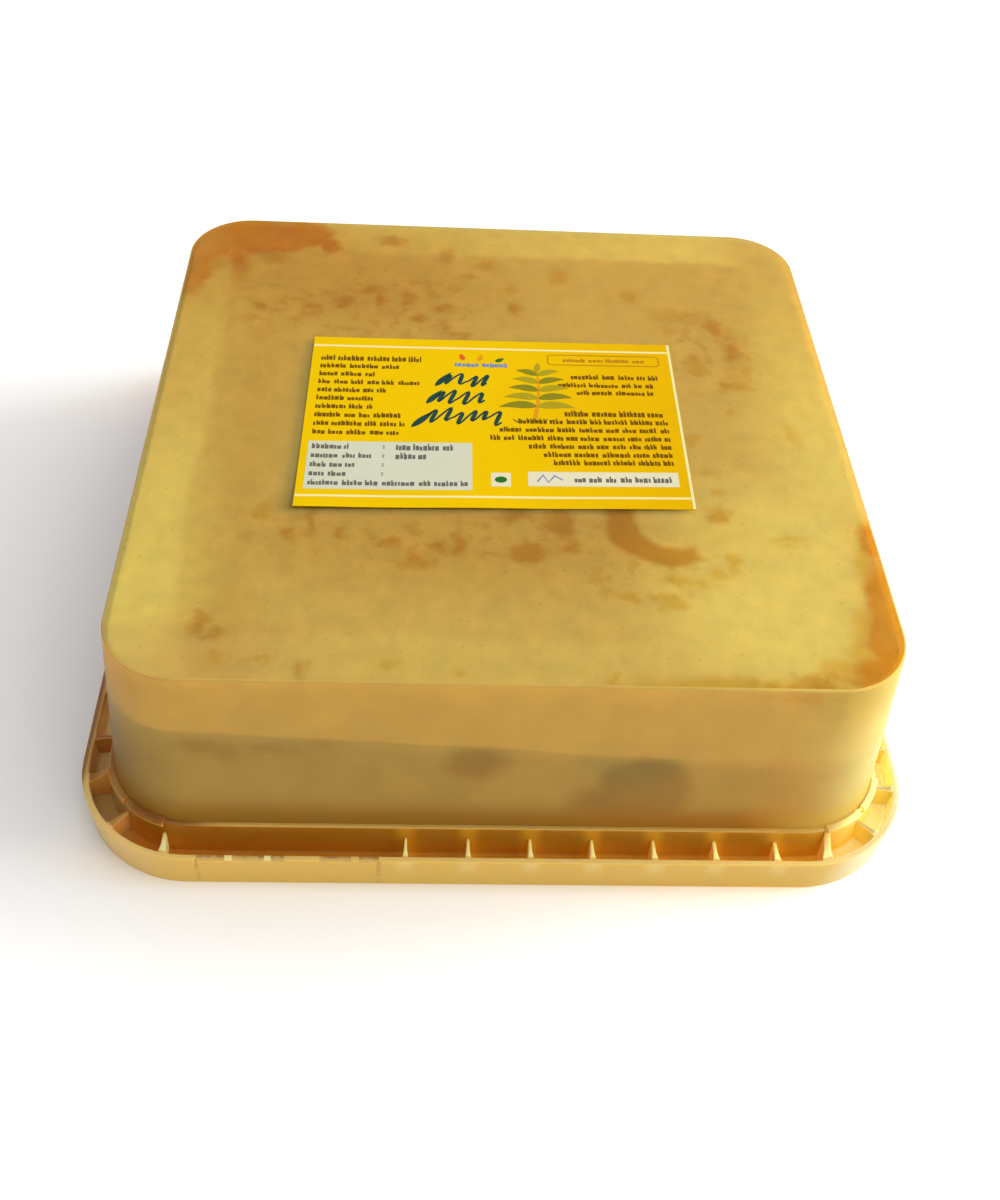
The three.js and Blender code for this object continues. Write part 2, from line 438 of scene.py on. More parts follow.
def shared_group(name, inputs, outputs):
    """A node group with the named sockets, and its inner input and output sockets."""
    group = bpy.data.node_groups.new(name, "ShaderNodeTree")
    for in_out, sockets in (("INPUT", inputs), ("OUTPUT", outputs)):
        for socket, kind in sockets.items():
            group.interface.new_socket(name=socket, in_out=in_out, socket_type="NodeSocket" + kind)
    return group, group.nodes.new("NodeGroupInput").outputs, group.nodes.new("NodeGroupOutput").inputs


def use(tree, name, inputs=None):
    """Places a shared group and gives what it puts out, by name."""
    node = add(tree, "Group", inputs, node_tree=bpy.data.node_groups[name])
    return {output.name: Value(output) for output in node.outputs}


def new_material(name):
    """A material with an empty tree."""
    material = bpy.data.materials.new(name)
    material.use_nodes = True
    material.node_tree.nodes.clear()
    return material, material.node_tree


def give_shader(tree, look, shadow=None):
    """Ends a material with its shader. shadow, if given, is the colour of the light that it lets through."""
    surface = add(tree, "BsdfPrincipled", look).outputs[0]
    if shadow:
        clear = add(tree, "BsdfTransparent", {"Color": shadow}).outputs[0]
        path = add(tree, "LightPath").outputs["Is Shadow Ray"]
        surface = add(tree, "MixShader", {0: path, 1: surface, 2: clear}).outputs[0]
    connect(add(tree, "OutputMaterial").inputs["Surface"], surface)


# ---- the tub's outline ---------------------------------------------------------------------

def flare_at(z):
    """How far the tub's wall has leaned out from the base's outline at a height."""
    sizes = bpy.context.scene.tub_sizes
    ring_height = bpy.context.scene.lid_sizes.ring_height
    return sizes.flare * (TOP - z) / (TOP - ring_height)


def tub_level(z, offset=0.0):
    """A level of the tub's outside, moved outwards by offset."""
    sizes = bpy.context.scene.tub_sizes
    grown = flare_at(z) + offset
    return sizes.base_half + grown, sizes.base_corner + grown, z


def base_sag(height):
    """The height of the base's faces, which sink a little towards the middle."""
    sizes = bpy.context.scene.tub_sizes

    def z(x, y):
        reach = max(abs(x), abs(y)) / sizes.base_half
        return height - sizes.sag * (1 - min(1.0, reach) ** 2) ** 2

    return z


def towards_middle(level, z):
    """Levels that fill a face from its edge to the middle."""
    half, radius, _ = level
    shares = (0.985, 0.95, 0.9, 0.8, 0.7, 0.6, 0.5, 0.4, 0.3, 0.2, 0.1, 0.03)
    return [(half * share, radius * share, z) for share in shares]


def quarter_turn(steps):
    """How far a rounding has come across and up, from its start to its end."""
    angles = [step / steps * QUARTER for step in range(steps + 1)]
    return [(1 - math.cos(angle), math.sin(angle)) for angle in angles]


# ---- pieces --------------------------------------------------------------------------------

class MakeTub(bpy.types.Operator):
    """The square shell, mouth down, with a small round edge between its base and its walls"""

    bl_idname = "jaggery_tub.make_tub"
    bl_label = "Tub"

    def execute(self, context):
        sizes = context.scene.tub_sizes
        foot, ceiling = TUB_LOW.z, TOP - sizes.base_thick
        outer, inner = [], []
        for share in (0, 0.01, 0.2, 0.4, 0.6, 0.8, 0.94):
            outer.append(tub_level(foot + (TOP - foot) * share))
            inner.append(tub_level(foot + (ceiling - foot) * share, -sizes.wall))
        for across, up in quarter_turn(6):
            drop, draw = sizes.edge * (1 - up), sizes.edge * across
            outer.append(tub_level(TOP - drop, -draw))
            inner.append(tub_level(ceiling - drop, -sizes.wall - draw))
        outer += towards_middle(outer[-1], base_sag(TOP))
        inner += towards_middle(inner[-1], base_sag(ceiling))
        piece = loft("tub_shell", inner[::-1] + outer)
        for face in piece.data.polygons:
            face.material_index = int(face.center.z > TOP - sizes.edge)
        smooth(piece)
        place(piece, [wall_material(), base_material()], "tub_plastic", "tub")
        return {"FINISHED"}


def fill_level(x, y):
    """The height of the jaggery's free face."""
    sizes = bpy.context.scene.fill_sizes
    thick = bpy.context.scene.tub_sizes.base_thick
    wave = math.sin(x / 0.017 + 0.6) * math.cos(y / 0.023) + 0.5 * math.sin((x - y) / 0.009)
    grain = 0.5 * noise.noise(Vector((x, y, 0)) / 0.004)
    tilt = sizes.slope_front * y - sizes.slope * x
    return TOP - thick - sizes.depth + tilt + sizes.wave * (wave + grain)


# the lumps: name, middle, half sizes and seed
LUMPS = [
    ("lump_a", (-5.5 * MM, -68.9 * MM, 30.5 * MM), (6.2 * MM, 3.8 * MM, 6.5 * MM), 3),
    ("lump_b", (24.5 * MM, -68.6 * MM, 27.0 * MM), (9.4 * MM, 4.4 * MM, 10.2 * MM), 8),
]


class MakeJaggery(bpy.types.Operator):
    """The jaggery set against the base, down to its sloping level, with two lumps that hang from it"""

    bl_idname = "jaggery_tub.make_jaggery"
    bl_label = "Jaggery"

    def execute(self, context):
        sizes, shell = context.scene.fill_sizes, context.scene.tub_sizes
        top = TOP - shell.base_thick + sizes.bite
        side = -shell.wall + sizes.bite
        rim = tub_level(TOP - shell.base_thick - sizes.depth, side)
        under = [level_ring(*level) for level in towards_middle(rim, fill_level)]
        line = []
        for x, y, z in level_ring(rim[0], rim[1], fill_level):
            out = tub_level(z, side)[0] / rim[0]
            line.append((x * out, y * out, z))
        upper = []
        for across, up in quarter_turn(4):
            upper.append(tub_level(top - shell.edge * (1 - up), side - shell.edge * across))
        upper += towards_middle(upper[-1], base_sag(top))
        piece = solid("jaggery_fill", under[::-1] + [line] + [level_ring(*level) for level in upper])
        carve(piece, [lump(*given) for given in LUMPS], "UNION")
        smooth(piece)
        place(piece, [jaggery_material()], "jaggery", "jaggery")
        return {"FINISHED"}


def lump(name, centre, radii, seed):
    """An uneven blob."""
    shape = bmesh.new()
    bmesh.ops.create_icosphere(shape, subdivisions=4, radius=1)
    for vert in shape.verts:
        way = vert.co.normalized()
        bulge = 1 + 0.28 * noise.noise(way * 1.6 + Vector((seed, 0, 0))) + 0.1 * noise.noise(way * 5)
        vert.co = Vector(c + r * w * bulge for c, r, w in zip(centre, radii, way))
    return new_piece(name, shape)


# roundings of the lid's free edges, of its channel's floor, and of its ribs and lips
LID_EDGE = 0.3 * MM
LID_FILLET = 0.5 * MM
RIB_EDGE = 0.1 * MM
LIP_EDGE = 0.25 * MM
# half width of a rib where it meets the skirt: in the middle of a wall, how much that grows for each
# metre to the right, what the last rib has more, at a corner, and the least anywhere
RIB_SPREAD = 0.65 * MM
RIB_GROWTH = 0.003
LAST_RIB_MORE = 0.4 * MM
CORNER_RIB_SPREAD = 0.9 * MM
RIB_LEAST = 0.15 * MM
# how far the ribs reach into the ring and the skirt
RIB_BITE = 0.4 * MM
# left and right ends of the tear strip's four tabs in millimetres, and half the width of its scores
STRIP_TABS = [(-52.2, -50.7), (-44.7, -43.4), (-40.9, -34.3), (-28.3, -26.8)]
SCORE_HALF = 0.3 * MM


class MakeLid(bpy.types.Operator):
    """The lid in one moulding: panel, ring, ribbed channel, corner lips and skirt with its tear strip"""

    bl_idname = "jaggery_tub.make_lid"
    bl_label = "Lid"

    def execute(self, context):
        sizes = context.scene.lid_sizes
        piece = lid_body(sizes)
        carve(piece, lid_ribs(sizes), "UNION")
        carve(piece, corner_lips(sizes), "UNION")
        carve(piece, strip_cuts(sizes), "DIFFERENCE")
        smooth(piece)
        place(piece, [lid_material()], "lid_plastic", "lid")
        return {"FINISHED"}


def skirt_level(sizes, z, offset=0.0):
    """A level of the skirt's outside, moved outwards by offset."""
    grown = offset - sizes.skirt_draft * (1 - z / sizes.skirt_height)
    return LID_HALF + grown, sizes.corner + grown, z


def ring_level(sizes, z, offset=0.0):
    """A level of the ring's outside, moved outwards by offset."""
    return tub_level(z, sizes.ring_wall - sizes.grip + offset)


def lid_body(sizes):
    """The lid's section carried round in one run, from under its middle round the skirt, channel and ring."""
    edge, fillet = LID_EDGE, LID_FILLET
    turn = quarter_turn(4)
    inner = -sizes.skirt_wall
    roof = sizes.channel_floor - sizes.channel_thick
    middle = (sizes.corner * 0.2, sizes.corner * 0.1)
    levels = [(*middle, 0.0), ring_level(sizes, 0), ring_level(sizes, roof)]
    levels += [skirt_level(sizes, roof, inner), skirt_level(sizes, 0, inner)]
    for across, up in turn:
        levels.append(skirt_level(sizes, edge * across, -edge * (1 - up)))
    top = sizes.skirt_height
    for across, up in turn:
        levels.append(skirt_level(sizes, top - edge * (1 - up), -edge * across))
    for across, up in turn:
        levels.append(skirt_level(sizes, top - edge * across, inner + edge * (1 - up)))
    floor = sizes.channel_floor
    for across, up in turn:
        levels.append(skirt_level(sizes, floor + fillet * (1 - up), inner - fillet * across))
    for across, up in turn:
        levels.append(ring_level(sizes, floor + fillet * across, fillet * (1 - up)))
    top = sizes.ring_height
    for across, up in turn:
        levels.append(ring_level(sizes, top - edge * (1 - up), -edge * across))
    for across, up in turn:
        levels.append(ring_level(sizes, top - edge * across, -sizes.ring_wall + edge * (1 - up)))
    levels += [tub_level(sizes.panel, -sizes.grip), (*middle, sizes.panel)]
    return loft("lid_moulding", levels)


def edge_at(distance, half, radius):
    """Where a rounded square's edge lies at a distance from the middle of its side."""
    past = max(0.0, distance - (half - radius))
    return half - radius + math.sqrt(radius**2 - past**2)


def fin(sizes, across, start, end, spread, rise=0.0):
    """One rib of the channel from start to end, thin at the ring and spreading where it meets the skirt.
    Its top climbs by rise towards the ring."""
    foot = sizes.channel_floor - 0.5 * sizes.channel_thick
    edge = RIB_EDGE
    rings = []
    for share, width in ((0, 0.4), (0.6, 0.55), (0.85, 0.85), (1, 1)):
        half = max(RIB_LEAST, spread * width)
        y = -(start + (end - start) * share)
        top = sizes.rib_top + rise * max(0.0, 1 - share / 0.75)
        section = [(-half, foot), (half, foot), (half, top - edge), (half - edge, top), (edge - half, top)]
        section.append((-half, top - edge))
        rings.append([(across + x, y, z) for x, z in section])
    return solid("rib", rings)


def lid_ribs(sizes):
    """The ribs of all four sides and corners. The front has none behind the tear strip."""
    ring_half, ring_corner, _ = ring_level(sizes, sizes.rib_top)
    skirt_half, skirt_corner, _ = skirt_level(sizes, sizes.rib_top, -sizes.skirt_wall)
    climb = sizes.ring_height + 0.5 * sizes.lip_rise - sizes.rib_top
    places = [((i + 0.5) * sizes.rib_pitch, 0.0) for i in range(sizes.ribs_per_half)]
    places.append((sizes.last_rib, climb))
    ribs = []
    for quarter in range(4):
        for x, rise in [(side * p, r) for p, r in places for side in (-1, 1)]:
            if quarter == 0 and sizes.strip_left < x < sizes.strip_right:
                continue
            start = edge_at(abs(x), ring_half, ring_corner) - RIB_BITE
            end = edge_at(abs(x), skirt_half, skirt_corner) + RIB_BITE
            spread = RIB_SPREAD + RIB_GROWTH * x + (LAST_RIB_MORE if rise else 0.0)
            rib = fin(sizes, x, start, end, spread, rise if x > 0 else 0.0)
            ribs.append(turned(rib, quarter * QUARTER))
        start = (ring_half - ring_corner) * math.sqrt(2) + ring_corner - RIB_BITE
        end = (skirt_half - skirt_corner) * math.sqrt(2) + skirt_corner + RIB_BITE
        ribs.append(turned(fin(sizes, 0, start, end, CORNER_RIB_SPREAD), quarter * QUARTER + QUARTER / 2))
    return ribs


def corner_lips(sizes):
    """The raised lips round the ring's four corners, each in two halves with a break between them."""
    low, high = sizes.ring_height - sizes.lip_drop, sizes.ring_height + sizes.lip_rise
    half, corner, _ = ring_level(sizes, sizes.ring_height)
    centre = half - corner
    inside, outside, edge = corner - sizes.ring_wall + 0.1 * MM, corner + sizes.lip_wall, LIP_EDGE
    section = [(inside, low), (corner, low), (outside, low + sizes.lip_wall), (outside, high - edge)]
    section += [(outside - 0.3 * edge, high - 0.3 * edge), (outside - edge, high), (inside + edge, high)]
    section += [(inside + 0.3 * edge, high - 0.3 * edge), (inside, high - edge)]
    start = math.asin((sizes.last_rib - centre) / corner)
    gap = 0.5 * sizes.lip_gap / corner
    lips = []
    for quarter in range(4):
        for first, last in ((start, QUARTER / 2 - gap), (QUARTER / 2 + gap, QUARTER - start)):
            rings = []
            for step in range(13):
                angle = first + (last - first) * step / 12
                way = Vector((math.cos(angle), math.sin(angle)))
                rings.append([(centre + way.x * r, centre + way.y * r, z) for r, z in section])
            lips.append(turned(solid("lip", rings), quarter * QUARTER))
    return lips


def strip_cuts(sizes):
    """What is cut from the skirt at the tear strip: notches between its tabs, and a score at each end."""
    bounds = [sizes.strip_left] + [x * MM for tab in STRIP_TABS for x in tab] + [sizes.strip_right]
    back, front = -LID_HALF - MM, -LID_HALF + sizes.skirt_wall + 0.5 * MM
    cuts = []
    for left, right in zip(bounds[::2], bounds[1::2]):
        low = (left, back, sizes.skirt_height - sizes.strip_drop)
        cuts.append(block("notch", low, (right, front, sizes.skirt_height + MM)))
    for x in (sizes.strip_left, sizes.strip_right):
        low = (x - SCORE_HALF, back, -MM)
        cuts.append(block("score", low, (x + SCORE_HALF, -LID_HALF + 0.3 * MM, sizes.skirt_height + MM)))
    return cuts


class MakeLabel(bpy.types.Operator):
    """The label, a thin sheet that lifts a little at its front left corner"""

    bl_idname = "jaggery_tub.make_label"
    bl_label = "Label"

    def execute(self, context):
        sizes = context.scene.label_sizes
        columns, rows = 48, 32
        shape = bmesh.new()
        layers = []
        for lift in (0.0, sizes.thick):
            layer = {}
            for r in range(rows + 1):
                for c in range(columns + 1):
                    u, v = (c / columns - 0.5) * sizes.width, (r / rows - 0.5) * sizes.depth
                    layer[c, r] = shape.verts.new(on_label(u, v, lift))
            layers.append(layer)
        bottom, top = layers
        for r in range(rows):
            for c in range(columns):
                square = [(c, r), (c + 1, r), (c + 1, r + 1), (c, r + 1)]
                shape.faces.new([top[p] for p in square])
                shape.faces.new([bottom[p] for p in reversed(square)])
        rim = [(c, 0) for c in range(columns)] + [(columns, r) for r in range(rows)]
        rim += [(c, rows) for c in range(columns, 0, -1)] + [(0, r) for r in range(rows, 0, -1)]
        for first, second in zip(rim, rim[1:] + rim[:1]):
            shape.faces.new((bottom[first], bottom[second], top[second], top[first]))
        piece = new_piece("label_sheet", shape)
        smooth(piece)
        place(piece, [label_material()], "label_paper", "label")
        return {"FINISHED"}


# how far the sheet lies over the base, and how high its front edge ripples
LABEL_CLEAR = 0.04 * MM
LABEL_RIPPLE = 0.12 * MM


def on_label(u, v, lift):
    """A point of the label, from its place across and along the sheet and its height over the underside."""
    sizes = bpy.context.scene.label_sizes
    centre = (LABEL_LOW + LABEL_HIGH) / 2
    across, along = u / sizes.width + 0.5, v / sizes.depth + 0.5
    skewed = Vector((u + sizes.lean * v, v * (1 + sizes.taper * (1 - 2 * across))))
    flat = Matrix.Rotation(sizes.turn, 2) @ skewed
    x, y = centre.x + flat.x, centre.y + flat.y
    curl = sizes.curl * max(0.0, 1 - along / 0.3) ** 2 * max(0.0, 1 - across / 1.1) ** 1.5
    ripple = LABEL_RIPPLE * (0.5 + 0.5 * math.sin(across * 16 + 0.8)) * max(0.0, 1 - along / 0.25) ** 2
    return x, y, base_sag(TOP)(x, y) + LABEL_CLEAR + curl + ripple + lift


# ---- print ---------------------------------------------------------------------------------

INKS = {
    "ink brown": (0.14, 0.065, 0.004),
    "ink tan": (0.38, 0.17, 0.008),
    "ink teal": (0.016, 0.050, 0.040),
    "ink olive": (0.33, 0.26, 0.012),
    "ink moss": (0.20, 0.18, 0.012),
    "ink ochre": (0.58, 0.25, 0.012),
    "ink green": (0.022, 0.12, 0.012),
    "ink red": (0.55, 0.09, 0.02),
    "ink white": (0.60, 0.56, 0.39),
    "ink straw": (0.72, 0.63, 0.30),
    "ink pale": (0.50, 0.51, 0.385),
    "ink grey": (0.12, 0.11, 0.09),
    "ink blue": (0.12, 0.20, 0.40),
}


# in millimetres: how far ink lies over the sheet, how much higher each layer lies, and how thick a film is
INK_CLEAR = 0.004
INK_LAYER = 0.016
INK_THICK = 0.018
# bands and panels: left, right, low and high in millimetres
BANDS = {
    "ink straw": [(-39.9, 39.3, 24.05, 24.65), (-39.9, 39.3, -24.5, -23.9), (39.4, 39.95, -27.3, 27.3)],
    "ink white": [(6.5, 37.4, -20.8, -16.4), (-1.0, 3.0, -21, -16.8)],
    "ink pale": [(-38.5, -4.8, -22.2, -7.7)],
}


class Press:
    """Lays thin films of ink on the label. Places are in millimetres from the label's middle."""

    def __init__(self):
        self.shape = bmesh.new()
        self.ink = 0
        self.layer = 0
        self.draw = random.Random(7)

    def load(self, ink, layer=0):
        """Takes an ink, for the lower (0) or the upper (1) layer of print."""
        self.ink = list(INKS).index(ink)
        self.layer = layer

    def film(self, rows, closed=False):
        """A film over rows of points that face each other."""
        low = bpy.context.scene.label_sizes.thick + (INK_CLEAR + INK_LAYER * self.layer) * MM
        layers = []
        for lift in (low, low + INK_THICK * MM):
            layer = [[self.shape.verts.new(on_label(u * MM, v * MM, lift)) for u, v in row] for row in rows]
            layers.append(layer)
        for face in skin(self.shape, [lower + upper[::-1] for lower, upper in zip(*layers)], closed):
            face.material_index = self.ink

    def bar(self, left, right, low, high):
        """A plain rectangle."""
        across = max(1, round((right - left) / 1.6))
        along = max(1, round((high - low) / 1.6))
        rows = []
        for i in range(across + 1):
            u = left + (right - left) * i / across
            rows.append([(u, low + (high - low) * j / along) for j in range(along + 1)])
        self.film(rows)

    def stroke(self, points, widths):
        """A pen stroke along points, with a width at each."""
        pairs = []
        for i, (u, v) in enumerate(points):
            before, after = points[max(0, i - 1)], points[min(len(points) - 1, i + 1)]
            way = Vector((after[0] - before[0], after[1] - before[1]))
            side = Vector((-way.y, way.x)).normalized() * widths[i] / 2
            pairs.append(((u + side.x, v + side.y), (u - side.x, v - side.y)))
        self.film(pairs)

    def disc(self, u, v, across, high):
        """An oval spot."""
        pairs = []
        for step in range(9):
            angle = (0.04 + 0.92 * step / 8) * math.pi
            x, y = -math.cos(angle) * across / 2, math.sin(angle) * high / 2
            pairs.append(((u + x, v - y), (u + x, v + y)))
        self.film(pairs)

    def leaf(self, u, v, angle, long, wide, bend=0.0):
        """A pointed leaf from its stalk outwards."""
        points, widths = [], []
        for step in range(11):
            t = step / 10
            turn = angle + bend * t
            points.append((u + long * t * math.cos(turn), v + long * t * math.sin(turn)))
            widths.append(max(0.05, wide * math.sin(math.pi * t**0.75) ** 0.9))
        self.stroke(points, widths)

    def marks(self, left, right, v, high):
        """A row of small uneven marks in clusters, standing in for small print."""
        u = left
        while u < right - 0.5:
            end = min(right, u + self.draw.uniform(2.0, 6.5))
            while u < end - 0.3:
                wide = min(self.draw.uniform(0.4, 0.9), right - u)
                foot = v + self.draw.uniform(-0.54, -0.44) * high
                body = foot + self.draw.uniform(0.62, 0.84) * high
                self.bar(u, u + wide, foot, body)
                if self.draw.random() < 0.3:
                    self.bar(u, u + 0.3, body, v + 0.58 * high)
                u += wide + self.draw.uniform(0.1, 0.22)
            u += self.draw.uniform(0.4, 0.8)

    def flourish(self, left, right, v, high, waves, seed):
        """A flowing pen line: slanted uneven waves, thick going down and thin going up."""
        draw = random.Random(seed)
        highs = [draw.uniform(0.5, 1.25) for _ in range(waves + 2)]
        wides = [draw.uniform(0.6, 1.4) for _ in range(waves)]
        points, widths = [], []
        u = left
        for wave in range(waves):
            run = (right - left) * wides[wave] / sum(wides)
            for step in range(12):
                part = step / 12
                size = highs[wave] * (1 - part) + highs[wave + 1] * part
                rise = math.sin(part * math.tau)
                along = u + run * part + 0.3 * high * size * rise
                drift = 0.1 * high * math.sin(wave * 1.9 + part)
                points.append((along, v + 0.5 * high * size * rise + drift))
                widths.append(0.48 + 0.5 * max(0.0, -math.cos(part * math.tau)))
            u += run
        self.stroke(points, widths)


class PrintLabel(bpy.types.Operator):
    """The label's print: bands, panels, rows of marks, three flowing lines and a sprig of leaves"""

    bl_idname = "jaggery_tub.print_label"
    bl_label = "Print"

    def execute(self, context):
        press = Press()
        for ink, bars in BANDS.items():
            press.load(ink)
            for bar in bars:
                press.bar(*bar)
        self.left_column(press)
        self.right_column(press)
        self.flowing_lines(press)
        self.sprig(press)
        bmesh.ops.recalc_face_normals(press.shape, faces=press.shape.faces)
        piece = new_piece("label_print", press.shape)
        place(piece, [ink_material(name, value) for name, value in INKS.items()], "label_paper")
        return {"FINISHED"}

    def left_column(self, press):
        """Rows at the left, and the pale panel's rows under them."""
        press.load("ink brown")
        v = 20.0
        for i, long in enumerate((22, 18, 12, 22, 15, 12, 12, 19, 19, 18)):
            press.marks(-38, -38 + long, v, 1.75 if i == 0 else 1.5)
            v -= 2.75
        press.load("ink grey", 1)
        v = -9.3
        for long, more in ((7.5, 12), (12.5, 6.5), (9, 0), (7.5, 0), (33, 0)):
            press.marks(-37.7, -37.7 + min(long, 32), v, 1.5)
            if long < 30:
                press.bar(-23.2, -22.8, v - 0.5, v - 0.2)
                press.bar(-23.2, -22.8, v + 0.1, v + 0.4)
            if more:
                press.marks(-20.5, -20.5 + more, v, 1.85)
            v -= 2.75

    def right_column(self, press):
        """Rows at the right, the rounded frame over them and the strips under them."""
        press.load("ink tan")
        frame_line = []
        for quarter, (u, v) in enumerate([(36.2, 21.9), (13.0, 21.9), (13.0, 20.1), (36.2, 20.1)]):
            for step in range(5):
                angle = (quarter + step / 4) * QUARTER
                way = (math.cos(angle), math.sin(angle))
                frame_line.append([(u + r * way[0], v + r * way[1]) for r in (0.75, 1.0)])
        press.film(frame_line, closed=True)
        press.marks(15.5, 34, 21, 1.3)
        press.load("ink brown")
        for row in ((17, 36.5, 15, 1.6), (14, 35, 12.1, 1.5), (18, 35, 9.5, 1.5), (15, 37, 2.3, 1.9)):
            press.marks(*row)
        for left, v in ((5, 0), (1, -2.7), (-1, -5.4), (7, -8), (10, -10.6), (12, -13.1)):
            press.marks(left, 37, v - 0.4, 1.55)
        press.load("ink grey", 1)
        press.marks(16, 36, -18.7, 1.7)
        press.load("ink blue", 1)
        zigzag = [(8.4, -19.4), (9.6, -17.4), (10.6, -19.6), (12, -17.6), (13.6, -18.9)]
        press.stroke(zigzag, [0.4, 0.5, 0.4, 0.5, 0.3])
        press.load("ink green", 1)
        press.disc(1.0, -18.9, 2.5, 1.9)

    def flowing_lines(self, press):
        """Three looped lines in the middle, with three small spots over them."""
        press.load("ink teal")
        press.leaf(-12.8, 10.9, 0.95, 6.0, 1.5)
        press.flourish(-10.8, -0.8, 13.2, 4.2, 4, 3)
        press.leaf(-14.6, 4.9, 0.95, 5.8, 1.5)
        press.flourish(-12.4, -1.2, 7.2, 4.2, 4, 11)
        press.leaf(-17.6, -2.9, 0.85, 7.2, 1.6)
        press.flourish(-14.4, 2.6, 0.9, 4.6, 6, 8)
        spots = [("ink red", -6.6, 20.2, 1.9), ("ink ochre", -3.2, 20.0, 1.3), ("ink green", 0.4, 19.8, 0.6)]
        for ink, u, v, angle in spots:
            press.load(ink)
            press.leaf(u, v, angle, 2.4, 1.2)
        press.load("ink blue")
        press.marks(-8.6, 3.0, 18.6, 1.5)

    def sprig(self, press):
        """A bending stem with pairs of leaves."""
        press.load("ink ochre")
        stem = [(8.6 + 1.2 * math.sin(t * 2.2), 0.4 + 16.2 * t) for t in [i / 12 for i in range(13)]]
        press.stroke(stem, [1.0 - 0.06 * i for i in range(13)])
        for i, (u, v) in enumerate(stem[3::2]):
            for side in (-1, 1):
                press.load("ink olive" if (i + (side > 0)) % 2 else "ink moss", 1)
                angle = QUARTER - side * (1.2 - 0.09 * i)
                press.leaf(u, v, angle, 8.2 - 0.8 * i, 2.4 - 0.15 * i, bend=side * -0.4)
        press.load("ink olive", 1)
        press.leaf(*stem[-1], QUARTER - 0.1, 3.2, 1.4)
        press.load("ink moss")
        for i in range(7):
            press.leaf(5.0 + 1.1 * i, -0.9, QUARTER + 0.25 * (3 - i), 1.7, 0.5)


# ---- stage ---------------------------------------------------------------------------------

# lengths in metres, the lamp's power in watts
FLOOR_REACH = 3
FLOOR_THICK = 0.002
LAMP_PLACE = (1.5, 0.2, 0.8)
LAMP_SIZE = 0.8
LAMP_POWER = 30.0
LAMP_COLOUR = (1, 0.98, 0.93)


class MakeStage(bpy.types.Operator):
    """The pale floor, the soft light and the camera"""

    bl_idname = "jaggery_tub.make_stage"
    bl_label = "Stage"

    def execute(self, context):
        scene = context.scene
        floor = block("floor", (-FLOOR_REACH, -FLOOR_REACH, -FLOOR_THICK), (FLOOR_REACH, FLOOR_REACH, 0))
        floor.data.materials.append(floor_material())
        scene.world = studio_world()
        scene.view_settings.view_transform = "Standard"
        add_lamp()
        add_camera(scene)
        return {"FINISHED"}


def floor_material():
    """The floor's pale, slightly cloudy grey."""
    material, tree = new_material("pale floor")
    grey = fade(clouds(here(tree), 200), 0.2, 0.8, 0.93, 0.95)
    give_shader(tree, {"Base Color": grey, "Roughness": 0.8})
    return material


def studio_world():
    """A soft white surround, dimmer at the left."""
    world = bpy.data.worlds.new("soft light")
    world.use_nodes = True
    tree = world.node_tree
    direction = Value(add(tree, "TexCoord").outputs["Generated"])
    towards = vector_maths("DOT_PRODUCT", direction, (0.86, 0.1, 0.5), output="Value")
    background = tree.nodes["Background"]
    connect(background.inputs["Color"], (1, 1, 1))
    connect(background.inputs["Strength"], fade(towards, -0.7, 1.0, 0.08, 1.42))
    return world


def add_lamp():
    """A square lamp at the right that looks at the middle of the tub."""
    lamp = bpy.data.lights.new("window", "AREA")
    lamp.size = LAMP_SIZE
    lamp.energy = LAMP_POWER
    lamp.color = LAMP_COLOUR
    holder = bpy.data.objects.new("window", lamp)
    holder.location = LAMP_PLACE
    view = Vector((0, 0, TOP / 2)) - Vector(LAMP_PLACE)
    holder.rotation_euler = view.to_track_quat("-Z", "Y").to_euler()
    bpy.context.scene.collection.objects.link(holder)


VIEW_TURN = math.radians(-4.303)
VIEW_TILT = math.radians(43.963)
VIEW_ROLL = math.radians(4.360)
VIEW_DISTANCE = 314.2 * MM
VIEW_CENTRE = Vector((0, 0, 20.6 * MM))
# in pixels: the picture's size, the lens, and where the lens's axis meets the picture
PICTURE = (1000, 1200)
FOCAL = 1381.3
AXIS = (493.45, 517.35)


def add_camera(scene):
    """The camera, turned, tilted and rolled about the tub."""
    back = Vector((
        math.sin(VIEW_TURN) * math.cos(VIEW_TILT),
        -math.cos(VIEW_TURN) * math.cos(VIEW_TILT),
        math.sin(VIEW_TILT),
    ))
    level_right = back.cross(Vector((0, 0, -1))).normalized()
    level_up = back.cross(level_right)
    right = math.cos(VIEW_ROLL) * level_right + math.sin(VIEW_ROLL) * level_up
    up = back.cross(right)
    data = bpy.data.cameras.new("camera")
    data.sensor_width = 36
    data.lens = FOCAL / max(PICTURE) * data.sensor_width
    data.shift_x = (PICTURE[0] / 2 - AXIS[0]) / max(PICTURE)
    data.shift_y = (AXIS[1] - PICTURE[1] / 2) / max(PICTURE)
    data.clip_start = 0.01
    camera = bpy.data.objects.new("camera", data)
    turn = Matrix((right, up, back)).transposed().to_4x4()
    camera.matrix_world = Matrix.Translation(VIEW_CENTRE + back * VIEW_DISTANCE) @ turn
    scene.collection.objects.link(camera)
    scene.camera = camera


# ---- shared effects ------------------------------------------------------------------------

def square_distance_group():
    """How far out a point is, measured square to the walls and round the corners."""
    tree, _, out = shared_group("square distance", {}, {"Distance": "Float"})
    sizes = bpy.context.scene.tub_sizes
    reach = sizes.base_half - sizes.base_corner
    away = vector_maths("ABSOLUTE", here(tree))
    past = vector_maths("SUBTRACT", away, (reach, reach, 0))
    past = vector_maths("MAXIMUM", past, (0, 0, 0))
    span = magnitude(vector_maths("MULTIPLY", past, (1, 1, 0)))
    x, y, _ = split(away)
    connect(out["Distance"], smaller(larger(x, y), reach) + span)


